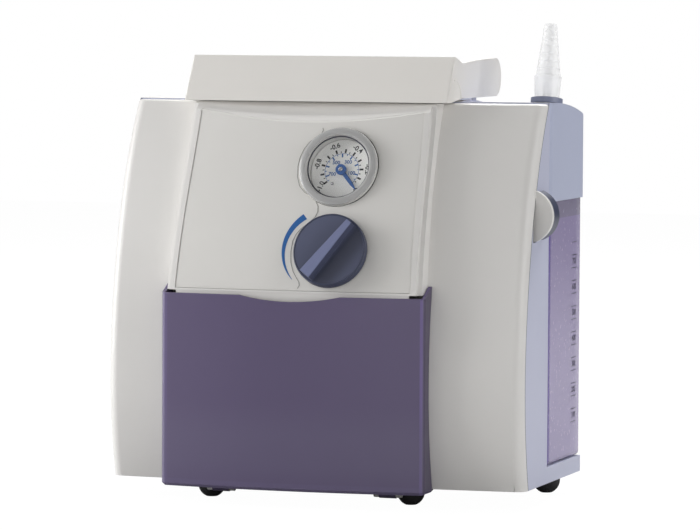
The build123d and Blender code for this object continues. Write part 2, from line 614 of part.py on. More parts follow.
def handle_pivots():
    """Two pins with lugs on the housing's top that carry the handle's rear ends."""
    lugs = []
    inner_x = HANDLE_HALF - ARM_WIDTH
    for sign in (-1, 1):
        x0 = CONSOLE_X + sign * (inner_x - 10.0)
        x1 = CONSOLE_X + sign * (inner_x - 0.4)
        low, high = min(x0, x1), max(x0, x1)
        lug = box(low, high, HANDLE_PIVOT_Y - 9, HOUSING_BACK, BACK_TOP - 5, HANDLE_PIVOT_Z)
        lug += rod(9, (low, HANDLE_PIVOT_Y - 0.0, HANDLE_PIVOT_Z), (1, 0, 0), high - low)
        lug &= box(-200, 200, 0, HANDLE_PIVOT_Y + 9, 200, 400)
        lug -= top_prism(-0.05, -HALF, HALF, HOUSING_BACK + 0.05, FOOT_HEIGHT)
        lug += rod(HANDLE_PIVOT_PIN_R, (CONSOLE_X + sign * (inner_x - 1), HANDLE_PIVOT_Y, HANDLE_PIVOT_Z),
                   (sign, 0, 0), ARM_WIDTH - 4)
        lugs.append(lug)
    return lugs


def jar_outline(inset):
    """Rounded plan outline of the jar, drawn in from its outer size by inset."""
    x0, x1 = BAY_X + JAR_GAP + inset, HALF - JAR_INSET - inset
    y0, y1 = BAY_Y + JAR_GAP + inset, JAR_BACK - inset
    plan = Pos((x0 + x1) / 2, (y0 + y1) / 2, 0) * RectangleRounded(x1 - x0, y1 - y0, 6 - inset)
    return plan


def suction_jar():
    """Clear jar with a rounded floor and an open mouth under the lid."""
    base = BAY_FLOOR + SEAT_GAP
    outer = extrude(Pos(0, 0, base) * jar_outline(0), amount=JAR_TOP - base)
    outer = fillet(outer.faces().sort_by(Axis.Z)[0].edges(), 3.0)
    inner = extrude(Pos(0, 0, base + JAR_WALL) * jar_outline(JAR_WALL), amount=JAR_TOP)
    return outer - inner


def lid_outline(inset):
    """Plan outline of the lid, wider than the jar and reaching over the bay's front step."""
    x0, x1 = BAY_X + LID_GAP + inset, HALF + LID_OVERHANG - inset
    y0, y1 = BAY_Y + LID_GAP + inset, LID_BACK - inset
    return Pos((x0 + x1) / 2, (y0 + y1) / 2, 0) * RectangleRounded(x1 - x0, y1 - y0, 7 - inset)


def jar_lid():
    """Deep lid with a sloping top, a skirt over the jar, and the suction ports."""
    low = JAR_TOP - LID_LAP
    outer = extrude(Pos(0, 0, low) * lid_outline(0), amount=100)
    outer &= lid_top(0)
    hollow = extrude(Pos(0, 0, JAR_TOP + 3.4) * lid_outline(LID_WALL), amount=100) & lid_top(LID_WALL)
    hollow &= seam_prism(SEAM_GAP + 0.4 + LID_WALL)
    hollow += extrude(Pos(0, 0, JAR_TOP) * jar_outline(JAR_WALL + 1.5), amount=4)
    hollow += extrude(Pos(0, 0, low - 1) * jar_outline(-SEAT_GAP), amount=LID_LAP + 1 + SEAL_THICK + 0.1)
    lid = (outer & seam_prism(SEAM_GAP + 0.4)) - hollow
    lid -= rod(SPOUT_RING_R + SEAT_GAP, spout_point(SPOUT_SEAT - 0.05), spout_axis(), 20)
    lid -= rod(PORT_R + LOOSE_FIT, (BAY_X - 2, PORT_Y, PORT_Z), (1, 0, 0), 8)
    lid -= rod(SPOUT_COLLAR_R - 2 + SEAT_GAP, spout_point(-12), spout_axis(), 24)
    return lid


def lid_top(drop):
    """Block under the lid's sloping, rounded top, lowered by drop."""
    line = Spline(Vector(60, BAY_Y - 10, CREST_TOP - 0.8 - drop), Vector(60, CREST_Y + 8, CREST_TOP - 2.4 - drop),
                  Vector(60, 112, 276.2 - drop), Vector(60, LID_BACK - 8, 273.2 - drop))
    runs = Polyline(Vector(60, LID_BACK - 8, 273.2 - drop), Vector(60, LID_BACK - drop * 0.4, 267.5 - drop),
                    Vector(60, LID_BACK - drop * 0.4 + 1, 150), Vector(60, BAY_Y - 10, 150),
                    Vector(60, BAY_Y - 10, CREST_TOP - 0.8 - drop))
    return extrude(make_face(line.edges() + runs.edges()), amount=120, dir=(1, 0, 0))


def spout_axis():
    """Direction of the hose connector."""
    lean = math.radians(SPOUT_LEAN)
    return Vector(0, math.sin(lean), math.cos(lean))


def spout_point(along):
    """Point on the connector's axis, measured from the lid's top."""
    return Vector(SPOUT_X, SPOUT_Y, CREST_TOP - 2.4) + spout_axis() * along


def spout_ring():
    """Flange ring in the lid that the connector plugs into."""
    ring = rod(SPOUT_RING_R, spout_point(SPOUT_SEAT), spout_axis(), SPOUT_RING)
    ring += rod(SPOUT_COLLAR_R - 2, spout_point(-9), spout_axis(), 10)
    return ring - rod(SPOUT_COLLAR_R - 3.5, spout_point(-12), spout_axis(), 30)


def hose_connector():
    """Stepped hose connector: collar, seven tapering steps and a through bore."""
    start = SPOUT_SEAT + SPOUT_RING + 0.05
    foot = Plane(origin=spout_point(start), z_dir=spout_axis())
    flare = 0.5
    body = foot * (Pos(0, 0, SPOUT_COLLAR / 2) * Cone(SPOUT_COLLAR_R - flare, SPOUT_COLLAR_R + flare,
                                                      SPOUT_COLLAR))
    along = start + SPOUT_COLLAR
    for step in range(SPOUT_STEPS):
        share = step / SPOUT_STEPS
        low = SPOUT_BASE_R + (SPOUT_TIP_R - SPOUT_BASE_R) * share
        plane = Plane(origin=spout_point(along - 0.01), z_dir=spout_axis())
        body += plane * (Pos(0, 0, SPOUT_STEP / 2) * Cone(low, low - 0.8, SPOUT_STEP))
        along += SPOUT_STEP
    body += rod(SPOUT_COLLAR_R - 3.6, spout_point(start - 9), spout_axis(), 10)
    return body - rod(SPOUT_BORE_R, spout_point(-14), spout_axis(), 90)


def lid_seal():
    """Rubber seal between the lid and the jar's rim."""
    band = extrude(Pos(0, 0, JAR_TOP + 0.05) * jar_outline(0.1), amount=SEAL_THICK)
    return band - extrude(Pos(0, 0, JAR_TOP - 1) * jar_outline(JAR_WALL + 0.4), amount=4)


def float_cage():
    """Cage under the lid that guides the overflow float."""
    x, y = 112.0, 60.0
    cage = tube(9.5, 8.0, (x, y, 205), (0, 0, 1), 73.4)
    for k in range(4):
        slot = Pos(x, y, 232) * Rot(0, 0, 45 + 90 * k) * Pos(9, 0, 0) * Box(6, 5, 40)
        cage -= slot
    cage += rod(8.2, (x, y, 203.4), (0, 0, 1), 1.8)
    return cage


def overflow_float():
    """Hollow float that shuts the suction port when the jar is full."""
    x, y = 112.0, 60.0
    return rod(8.0 - LOOSE_FIT, (x, y, 205.5), (0, 0, 1), 24) + rod(2, (x, y, 229), (0, 0, 1), 6)


def bacteria_filter():
    """Disc filter in the lid, on the way to the docking port."""
    neck = rod(SEAL_R, (BAY_X + LID_GAP + LID_WALL + SEAT_GAP, PORT_Y, PORT_Z), (1, 0, 0), 9)
    return rod(15, (100.0, PORT_Y, PORT_Z), (1, 0, 0), 12) + neck


def docking_nozzle():
    """Nozzle in the bay wall that the lid's port meets face to face."""
    body = rod(NOZZLE_R, (BAY_X - 22, PORT_Y, PORT_Z), (1, 0, 0), 21.8)
    body += rod(SEAL_R + 3, (BAY_X - WALL - 4.05, PORT_Y, PORT_Z), (1, 0, 0), 4)
    return body - rod(2.5, (BAY_X - 25, PORT_Y, PORT_Z), (1, 0, 0), 40)


def docking_seal():
    """Rubber face seal round the nozzle, in the hole of the bay wall."""
    return tube(SEAL_R, NOZZLE_R + 0.1, (BAY_X - WALL + 0.1, PORT_Y, PORT_Z), (1, 0, 0), WALL + 0.2)


# Pump, mounts and drive, inside the housing
PUMP_X = -62.0
PUMP_Y = 62.0
MOTOR_Z = 66.0
MOTOR_R = 31.0
MOTOR_LENGTH = 78.0
SHAFT_R = 4.0
ECCENTRIC_R = 11.0
ECCENTRIC_OFFSET = 2.0
HEAD_Z = 128.0
HEAD_SIZE = 66.0
CRANK_X = PUMP_X + MOTOR_LENGTH / 2 + 18


def pump_motor():
    """Drum motor with a foot, end bells and cooling ribs."""
    start = (PUMP_X - MOTOR_LENGTH / 2, PUMP_Y, MOTOR_Z)
    body = rod(MOTOR_R - 2.5, start, (1, 0, 0), MOTOR_LENGTH)
    for k in range(7):
        body += rod(MOTOR_R, (start[0] + 6 + k * 10, PUMP_Y, MOTOR_Z), (1, 0, 0), 5)
    body += box(PUMP_X - 30, PUMP_X + 30, PUMP_Y - 20, PUMP_Y + 20, MOTOR_Z - MOTOR_R - 5, MOTOR_Z - 20)
    return body - rod(SHAFT_R + RUNNING_FIT, (start[0] - 5, PUMP_Y, MOTOR_Z), (1, 0, 0), MOTOR_LENGTH + 10)


def motor_shaft():
    """Motor shaft, out of both end bells."""
    start = (PUMP_X - MOTOR_LENGTH / 2 - 22, PUMP_Y, MOTOR_Z)
    return rod(SHAFT_R, start, (1, 0, 0), MOTOR_LENGTH + 22 + 26)


def cooling_fan():
    """Radial fan wheel on the rear end of the shaft."""
    x = PUMP_X - MOTOR_LENGTH / 2 - 18
    wheel = rod(8, (x, PUMP_Y, MOTOR_Z), (1, 0, 0), 12) + rod(26, (x, PUMP_Y, MOTOR_Z), (1, 0, 0), 1.6)
    for k in range(8):
        blade = Pos(x + 6, PUMP_Y, MOTOR_Z) * Rot(45 * k, 0, 0) * Pos(0, 0, 16) * Box(12, 1.6, 18)
        wheel += blade
    return wheel - rod(SHAFT_R, (x - 5, PUMP_Y, MOTOR_Z), (1, 0, 0), 30)


def eccentric():
    """Eccentric disc on the drive end of the shaft."""
    disc = rod(ECCENTRIC_R, (CRANK_X - 5, PUMP_Y, MOTOR_Z + ECCENTRIC_OFFSET), (1, 0, 0), 10)
    disc += rod(8, (CRANK_X - 9, PUMP_Y, MOTOR_Z), (1, 0, 0), 5)
    return disc - rod(SHAFT_R, (CRANK_X - 20, PUMP_Y, MOTOR_Z), (1, 0, 0), 50)


def connecting_rod():
    """Connecting rod from the eccentric's bearing up to the diaphragm."""
    bore = ECCENTRIC_R + ECCENTRIC_OFFSET + LOOSE_FIT
    eye = tube(bore + 4, bore, (CRANK_X - 4, PUMP_Y, MOTOR_Z), (1, 0, 0), 8)
    top = HEAD_Z - 16
    stem = box(CRANK_X - 3.5, CRANK_X + 3.5, PUMP_Y - 5, PUMP_Y + 5, MOTOR_Z + bore + 2, top)
    return eye + stem + rod(13, (CRANK_X, PUMP_Y, top - 2.5), (0, 0, 1), 2.5)


def pump_bracket():
    """Frame that ties the motor to the pump head: base plate, motor bed and two cheeks."""
    low = FOOT_HEIGHT + WALL + 8
    frame = box(PUMP_X - 40, CRANK_X + 30, PUMP_Y - 36, PUMP_Y + 36, low, low + 4)
    frame += box(PUMP_X - 28, PUMP_X + 28, PUMP_Y - 18, PUMP_Y + 18, low, MOTOR_Z - MOTOR_R - 5 - 0.05)
    head_low = HEAD_Z - 14 - 0.05
    for y in (PUMP_Y - 36, PUMP_Y + 32):
        frame += box(CRANK_X - 12, CRANK_X + 12, y, y + 4, low, head_low)
    frame += box(CRANK_X - 16, CRANK_X + 16, PUMP_Y - 36, PUMP_Y + 36, head_low - 4, head_low) - rod(
        20, (CRANK_X, PUMP_Y, head_low - 20), (0, 0, 1), 60)
    for x, y in mount_places():
        frame -= rod(3.2, (x, y, low - 5), (0, 0, 1), 20)
    return frame


def mount_places():
    """Centres of the pump's rubber mounts."""
    return [(x, y) for x in (PUMP_X - 34, CRANK_X + 24) for y in (PUMP_Y - 28, PUMP_Y + 28)]


def rubber_mounts():
    """Four rubber buffers between the pump frame and the floor."""
    floor = FOOT_HEIGHT + WALL
    mounts = []
    for x, y in mount_places():
        buffer = rod(7, (x, y, floor + 0.05), (0, 0, 1), 7.9)
        mounts.append(buffer + rod(3.0, (x, y, floor + 7), (0, 0, 1), 7) + rod(6, (x, y, floor + 12.1), (0, 0, 1), 2.5))
    return mounts


def diaphragm():
    """Rubber diaphragm clamped under the pump head."""
    disc = rod(28, (CRANK_X, PUMP_Y, HEAD_Z - 13.9), (0, 0, 1), 2.0)
    return disc + rod(12, (CRANK_X, PUMP_Y, HEAD_Z - 15.9), (0, 0, 1), 2.1)


def pump_head():
    """Pump head: square block with a dished chamber over the diaphragm."""
    half = HEAD_SIZE / 2
    base = HEAD_Z - 14
    head = box(CRANK_X - half, CRANK_X + half, PUMP_Y - half, PUMP_Y + half, base, HEAD_Z)
    head = fillet(head.edges().filter_by(Axis.Z), 6)
    head -= rod(28.3, (CRANK_X, PUMP_Y, base - 1), (0, 0, 1), 3.4)
    head -= rod(18, (CRANK_X, PUMP_Y, base), (0, 0, 1), 6)
    for dx in (-9, 9):
        head -= rod(3, (CRANK_X + dx, PUMP_Y, base), (0, 0, 1), 20)
    for x, y in head_bolt_places():
        head -= rod(2.2, (x, y, base - 1), (0, 0, 1), 30)
    return head


def valve_plate():
    """Valve plate with its two reed openings, on top of the pump head."""
    half = HEAD_SIZE / 2
    low = HEAD_Z + 0.05
    plate = box(CRANK_X - half, CRANK_X + half, PUMP_Y - half, PUMP_Y + half, low, low + 3)
    plate = fillet(plate.edges().filter_by(Axis.Z), 6)
    for dx in (-9, 9):
        plate -= rod(3, (CRANK_X + dx, PUMP_Y, low - 1), (0, 0, 1), 10)
    for x, y in head_bolt_places():
        plate -= rod(2.2, (x, y, low - 1), (0, 0, 1), 30)
    return plate


def head_cover():
    """Cover of the pump head with the inlet and outlet spigots."""
    half = HEAD_SIZE / 2
    low = HEAD_Z + 3.1
    cover = box(CRANK_X - half, CRANK_X + half, PUMP_Y - half, PUMP_Y + half, low, low + 12)
    cover = fillet(cover.edges().filter_by(Axis.Z), 6)
    cover = chamfer(cover.faces().sort_by(Axis.Z)[-1].edges(), 1.5)
    for dx, sign in ((-9, -1), (9, 1)):
        cover -= rod(3, (CRANK_X + dx, PUMP_Y, low - 1), (0, 0, 1), 8)
        cover += rod(3.5, (CRANK_X + sign * (half - 1), PUMP_Y, low + 6), (sign, 0, 0), 13)
        cover -= rod(2, (CRANK_X + dx, PUMP_Y, low + 6), (sign, 0, 0), 60)
    for x, y in head_bolt_places():
        cover -= rod(2.2, (x, y, low - 1), (0, 0, 1), 30)
    return cover


def head_bolt_places():
    """Corners of the pump head's bolt pattern."""
    reach = HEAD_SIZE / 2 - 6.5
    return [(CRANK_X + sx * reach, PUMP_Y + sy * reach) for sx in (-1, 1) for sy in (-1, 1)]


def head_bolts():
    """Four socket screws through the cover, plate and head."""
    top = HEAD_Z + 15.1
    bolts = []
    for x, y in head_bolt_places():
        screw = rod(2.1, (x, y, HEAD_Z - 12), (0, 0, 1), top - HEAD_Z + 13)
        screw += rod(3.8, (x, y, top + 0.05), (0, 0, 1), 4) - rod(1.8, (x, y, top + 1.5), (0, 0, 1), 5)
        bolts.append(screw)
    return bolts


def silencer():
    """Ribbed exhaust silencer, standing on the housing floor beside the pump."""
    x, y, z = 60.0, 90.0, FOOT_HEIGHT + WALL + 0.1
    body = rod(11, (x, y, z), (0, 0, 1), 70)
    for k in range(6):
        body += rod(13, (x, y, z + 6 + k * 10), (0, 0, 1), 4)
    return body + rod(3.5, (x, y, z + 69), (0, 0, 1), 14)


def power_board():
    """Supply board on its standoffs, with a transformer and two capacitors."""
    x0, x1, y0, y1, z = -138.0, -40.0, 30.0, 110.0, 205.0
    board = box(x0, x1, y0, y1, z, z + 1.6)
    board += box(-120, -78, 44, 84, z + 1.5, z + 32)
    board += rod(9, (-60, 50, z + 1.5), (0, 0, 1), 26) + rod(9, (-60, 76, z + 1.5), (0, 0, 1), 26)
    for x, y in ((x0 + 5, y0 + 5), (x0 + 5, y1 - 5), (x1 - 5, y0 + 5), (x1 - 5, y1 - 5)):
        board -= rod(1.8, (x, y, z - 2), (0, 0, 1), 6)
    return board


def board_shelf():
    """Shelf across the left side of the housing that carries the supply board."""
    left = -HALF + WALL + 0.1
    shelf = box(left, -30, 24, 116, 194, 197)
    shelf += box(left, left + 3, 24, 116, 170, 197)
    for x in (-133, -45):
        for y in (35, 105):
            shelf += rod(3.5, (x, y, 196.9), (0, 0, 1), 8)
            shelf += rod(1.6, (x, y, 204), (0, 0, 1), 4)
    return shelf


def inlet_cutout():
    """Rectangular hole in the back face for the mains inlet."""
    return box(-126, -98, HOUSING_BACK - 8, HOUSING_BACK + 8, 30, 52)


def switch_cutout():
    """Hole in the back face for the mains switch."""
    return box(-88, -68, HOUSING_BACK - 8, HOUSING_BACK + 8, 30, 52)


def mains_inlet():
    """Mains inlet socket with three pins, in the back face."""
    y = HOUSING_BACK
    body = box(-125.6, -98.4, y - 22, y + 1, 30.4, 51.6)
    body += box(-129, -95, y + 0.05, y + 2.2, 27, 55)
    body -= box(-123.5, -100.5, y - 16, y + 8, 33, 49)
    for dx, dz in ((-7, -1), (7, -1), (0, 3)):
        body += box(-112 + dx - 1, -112 + dx + 1, y - 17, y - 3, 41 + dz - 2, 41 + dz + 2)
    return body


def switch_frame():
    """Bezel of the mains switch."""
    y = HOUSING_BACK
    frame = box(-87.6, -68.4, y - 18, y + 1, 30.4, 51.6) + box(-90, -66, y + 0.05, y + 2, 28, 54)
    return frame - box(-86, -70, y - 14, y + 8, 32, 50)


def mains_switch():
    """Rocker of the mains switch, on its cross pin."""
    y = HOUSING_BACK
    rocker = rod(9.5, (-85.6, y - 5, 41), (1, 0, 0), 15.2)
    rocker &= box(-100, -60, y - 5, y + 20, 33, 49)
    rocker += rod(3.0, (-85.6, y - 5, 41), (1, 0, 0), 15.2)
    return rocker


EXPORTS = {
    "front_shell": front_shell,
    "rear_housing": rear_housing,
    "control_panel": control_panel,
    "hose_peg": hose_peg,
    "rubber_feet": rubber_feet,
    "gauge_case": pressure_gauge,
    "gauge_dial": gauge_dial,
    "gauge_needle": gauge_needle,
    "gauge_lens": gauge_lens,
    "regulator_knob": regulator_knob,
    "regulator_stem": regulator_stem,
    "regulator_body": regulator_body,
    "regulator_needle": regulator_needle,
    "accessory_pocket": accessory_pocket,
    "pocket_hinges": pocket_hinges,
    "handle": handle,
    "handle_pivots": handle_pivots,
    "suction_jar": suction_jar,
    "jar_lid": jar_lid,
    "lid_seal": lid_seal,
    "spout_ring": spout_ring,
    "hose_connector": hose_connector,
    "float_cage": float_cage,
    "overflow_float": overflow_float,
    "bacteria_filter": bacteria_filter,
    "docking_nozzle": docking_nozzle,
    "docking_seal": docking_seal,
    "pump_motor": pump_motor,
    "motor_shaft": motor_shaft,
    "cooling_fan": cooling_fan,
    "eccentric": eccentric,
    "connecting_rod": connecting_rod,
    "pump_bracket": pump_bracket,
    "rubber_mounts": rubber_mounts,
    "diaphragm": diaphragm,
    "pump_head": pump_head,
    "valve_plate": valve_plate,
    "head_cover": head_cover,
    "head_bolts": head_bolts,
    "silencer": silencer,
    "power_board": power_board,
    "board_shelf": board_shelf,
    "mains_inlet": mains_inlet,
    "switch_frame": switch_frame,
    "mains_switch": mains_switch,
}


def whole(shape):
    """One part or a group of parts as a single shape."""
    solids = []
    for piece in shape if isinstance(shape, list) else [shape]:
        solids.extend(piece.solids())
    return solids[0] if len(solids) == 1 else Compound(solids)


def main():
    """Build every part, put the origin at the bottom centre of the whole and write the files."""
    parts = {name: whole(make()) for name, make in EXPORTS.items()}
    boxes = [part.bounding_box() for part in parts.values()]
    x = (min(b.min.X for b in boxes) + max(b.max.X for b in boxes)) / 2
    y = (min(b.min.Y for b in boxes) + max(b.max.Y for b in boxes)) / 2
    z = min(b.min.Z for b in boxes)
    print("origin moved by", round(-x, 4), round(-y, 4), round(-z, 4))
    os.makedirs("parts", exist_ok=True)
    for name, part in parts.items():
        export_step(Pos(-x, -y, -z) * part, f"parts/{name}.step")


main()
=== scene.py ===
"""Dressed model of a portable suction unit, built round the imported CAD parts.

Metres, in the frame of the parts.  Millimetre values are laid out about the drawing's own origin
(housing mid width, line of the front feet, table) and moved by ORIGIN, which is found from the
rear housing's left and back faces.
"""
import logging
import math
from dataclasses import dataclass, field
from enum import Enum
from typing import Dict, Iterable, List, Optional, Sequence, Tuple, Union

import bmesh
import bpy
from mathutils import Matrix, Vector
from mathutils.bvhtree import BVHTree


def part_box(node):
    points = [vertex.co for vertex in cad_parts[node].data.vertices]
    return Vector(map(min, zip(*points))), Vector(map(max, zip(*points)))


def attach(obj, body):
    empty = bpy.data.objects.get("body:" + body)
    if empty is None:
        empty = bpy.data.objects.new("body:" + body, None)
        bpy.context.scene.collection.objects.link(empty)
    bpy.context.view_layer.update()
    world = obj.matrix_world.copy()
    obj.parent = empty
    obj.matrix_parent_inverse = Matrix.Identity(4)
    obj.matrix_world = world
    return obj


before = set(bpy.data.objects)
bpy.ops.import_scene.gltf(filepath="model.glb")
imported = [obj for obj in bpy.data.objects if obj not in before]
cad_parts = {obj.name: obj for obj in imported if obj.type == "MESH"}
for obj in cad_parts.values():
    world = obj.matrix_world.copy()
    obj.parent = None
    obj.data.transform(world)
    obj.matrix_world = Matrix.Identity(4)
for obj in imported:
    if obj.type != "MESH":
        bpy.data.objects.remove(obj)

logging.basicConfig(level=logging.INFO, format="%(message)s")
log = logging.getLogger("suction_unit")

Colour = Tuple[float, float, float]
Point = Tuple[float, float]
Socket = bpy.types.NodeSocket
MM = 0.001
HOUSING_LEFT = -153.0
HOUSING_BACK = 128.0
ORIGIN = Vector((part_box("rear_housing")[0].x / MM - HOUSING_LEFT,
                 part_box("rear_housing")[1].y / MM - HOUSING_BACK, 0.0))
CONSOLE_MIDDLE = -9.6
CONSOLE_TILT = math.radians(20.0)
KNOB_X, KNOB_Z = 18.8, 178.5
SQUARE = ((-1, -1), (1, -1), (1, 1), (-1, 1))


def place(x: float, y: float, z: float) -> Vector:
    """Point of the drawing, in millimetres, as a point of the frame in metres."""
    return (Vector((x, y, z)) + ORIGIN) * MM


def linear(red: int, green: int, blue: int) -> Colour:
    """Screen colour, each part from 0 to 255, as the linear colour that shaders use."""
    def part(value: int) -> float:
        """Undo the screen curve of one part."""
        share = value / 255
        return share / 12.92 if share <= 0.04045 else ((share + 0.055) / 1.055) ** 2.4
    return part(red), part(green), part(blue)


def polar(radius: float, angle: float, height: float = 0.0) -> Vector:
    """Point round the Z axis, in metres, from millimetres and an angle in radians."""
    return Vector((radius * math.cos(angle), radius * math.sin(angle), height)) * MM


def shares(count: int) -> List[float]:
    """That many even steps from 0 to 1."""
    return [step / (count - 1) for step in range(count)]


def on_line(line: Sequence[Point], height: float) -> float:
    """Place across at a height, on a line of (across, height) points that runs upwards."""
    for (x0, z0), (x1, z1) in zip(line, line[1:]):
        if height <= z1:
            return x0 + (x1 - x0) * (height - z0) / (z1 - z0)
    return line[-1][0]


def add(name: str, data: bpy.types.ID) -> bpy.types.Object:
    """New object in the scene that shows the given data."""
    item = bpy.data.objects.new(name, data)
    bpy.context.scene.collection.objects.link(item)
    return item


class Signal:
    """A number that varies over a surface, as the output socket of a shader node."""

    def __init__(self, book: "ShaderBook", socket: Socket) -> None:
        """Wrap a socket of the given material."""
        self.book = book
        self.socket = socket

    def _math(self, operation: str, first: "Value", second: "Value" = 0.0) -> "Signal":
        """Result of one Math node."""
        node = self.book.node("ShaderNodeMath", {"operation": operation}, {0: first, 1: second})
        return Signal(self.book, node.outputs[0])

    def __add__(self, other: "Value") -> "Signal":
        """Sum with a number or signal."""
        return self._math("ADD", self, other)

    __radd__ = __add__

    def __sub__(self, other: "Value") -> "Signal":
        """This signal less a number or signal."""
        return self._math("SUBTRACT", self, other)

    def __rsub__(self, other: "Value") -> "Signal":
        """A number less this signal."""
        return self._math("SUBTRACT", other, self)

    def __mul__(self, other: "Value") -> "Signal":
        """Product with a number or signal."""
        return self._math("MULTIPLY", self, other)

    def ramp(self, low: float, high: float) -> "Signal":
        """Smooth step from 0 at low to 1 at high."""
        node = self.book.node(
            "ShaderNodeMapRange", {"interpolation_type": "SMOOTHSTEP", "clamp": True},
            {"Value": self, "From Min": low, "From Max": high})
        return Signal(self.book, node.outputs["Result"])


Value = Union[Signal, float, int, Sequence[float], Socket]


class ShaderBook:
    """Nodes of one material or world, with short calls for the patterns that finishes share."""

    def __init__(self, owner: Union[bpy.types.Material, bpy.types.World]) -> None:
        """Start with no nodes."""
        owner.use_nodes = True
        self.tree = owner.node_tree
        self.tree.nodes.clear()

    def node(self, kind: str, settings: Optional[Dict[str, object]] = None,
             inputs: Optional[Dict[Union[int, str], Value]] = None) -> bpy.types.Node:
        """Add a node, set it up and feed its sockets.

        Args:
            kind: the node's type name.
            settings: properties that are set before the sockets.
            inputs: a value, signal or socket for each input.

        Returns:
            The new node.
        """
        made = self.tree.nodes.new(kind)
        for key, value in (settings or {}).items():
            setattr(made, key, value)
        for key, value in (inputs or {}).items():
            socket = made.inputs[key]
            if isinstance(value, Signal):
                self.tree.links.new(value.socket, socket)
            elif isinstance(value, Socket):
                self.tree.links.new(value, socket)
            else:
                socket.default_value = value
        return made

    def position(self) -> Socket:
        """Object coordinates, which are metres in the frame."""
        return self.node("ShaderNodeTexCoord").outputs["Object"]

    def stretched(self, scale: Sequence[float]) -> Socket:
        """Object coordinates stretched along the axes."""
        made = self.node("ShaderNodeMapping", {},
                         {"Vector": self.position(), "Scale": tuple(scale)})
        return made.outputs["Vector"]

    def noise(self, scale: float, detail: float = 2.0,
              vector: Optional[Socket] = None) -> Signal:
        """Soft noise from 0 to 1, with that many swells in a metre."""
        made = self.node("ShaderNodeTexNoise", {},
                         {"Vector": vector or self.position(), "Scale": scale, "Detail": detail})
        return Signal(self, made.outputs[0])

    def cells(self, scale: float) -> Signal:
        """Distance to the nearest of many scattered points."""
        made = self.node("ShaderNodeTexVoronoi", {}, {"Vector": self.position(), "Scale": scale})
        return Signal(self, made.outputs["Distance"])

    def along(self, axis: str) -> Signal:
        """Object coordinate along one axis, in metres."""
        made = self.node("ShaderNodeSeparateXYZ", {}, {0: self.position()})
        return Signal(self, made.outputs[axis])

    def height(self) -> Signal:
        """Height above the table in metres."""
        return self.along("Z")

    def reach(self, start: Vector, way: Vector) -> Signal:
        """Distance from a point along a direction, in metres."""
        made = self.node("ShaderNodeVectorMath", {"operation": "DOT_PRODUCT"},
                         {0: self.position(), 1: tuple(way)})
        return Signal(self, made.outputs["Value"]) - start.dot(way)

    def facing(self, axis: str) -> Signal:
        """Component of the surface's normal along one axis."""
        flat = self.node("ShaderNodeNewGeometry").outputs["Normal"]
        made = self.node("ShaderNodeSeparateXYZ", {}, {0: flat})
        return Signal(self, made.outputs[axis])

    def facing_up(self) -> Signal:
        """One on faces that look up, nothing on upright ones."""
        return self.facing("Z").ramp(0.55, 0.62)

    def blend(self, share: Value, first: Value, second: Value) -> Socket:
        """Colour between two colours."""
        made = self.node("ShaderNodeMix", {"data_type": "RGBA"}, {0: share, 6: first, 7: second})
        return made.outputs[2]

    def mottled(self, share: Value, colour: Colour, low: float,
                high: float) -> Socket:
        """Colour that drifts between two shades of itself."""
        return self.blend(share, rgba(shade(colour, low)), rgba(shade(colour, high)))

    def tinge(self, share: Value, body: Value, colour: Colour,
              factor: float = 1.0) -> Socket:
        """Body colour that takes a share of another, made lighter or darker by a factor."""
        return self.blend(share, body, rgba(shade(colour, factor)))

    def rounded(self, radius: float) -> Socket:
        """Normal that rounds the edges to a radius in metres."""
        made = self.node("ShaderNodeBevel", {"samples": 4}, {"Radius": radius})
        return made.outputs[0]

    def edge(self, radius: float) -> Signal:
        """One on the sharp edges and nothing on the flats."""
        flat = self.node("ShaderNodeNewGeometry").outputs["Normal"]
        dot = self.node("ShaderNodeVectorMath", {"operation": "DOT_PRODUCT"},
                        {0: self.rounded(radius), 1: flat})
        return (1 - Signal(self, dot.outputs["Value"])).ramp(0.02, 0.25)

    def bump(self, height: Signal, depth: float, radius: float) -> Socket:
        """Normal with a relief of the given depth, on rounded edges."""
        made = self.node("ShaderNodeBump", {}, {
            "Height": height, "Distance": depth, "Strength": 1.0, "Normal": self.rounded(radius)})
        return made.outputs[0]

    def close(self, inputs: Dict[Union[int, str], Value]) -> None:
        """Finish the material with one Principled shader of those inputs."""
        shader = self.node("ShaderNodeBsdfPrincipled", {}, inputs)
        self.node("ShaderNodeOutputMaterial", {}, {"Surface": shader.outputs[0]})


def rgba(colour: Colour) -> Tuple[float, float, float, float]:
    """Colour with full strength."""
    return (*colour, 1.0)


def shade(colour: Colour, factor: float) -> Colour:
    """Colour made lighter or darker by a factor."""
    return tuple(min(1.0, part * factor) for part in colour)


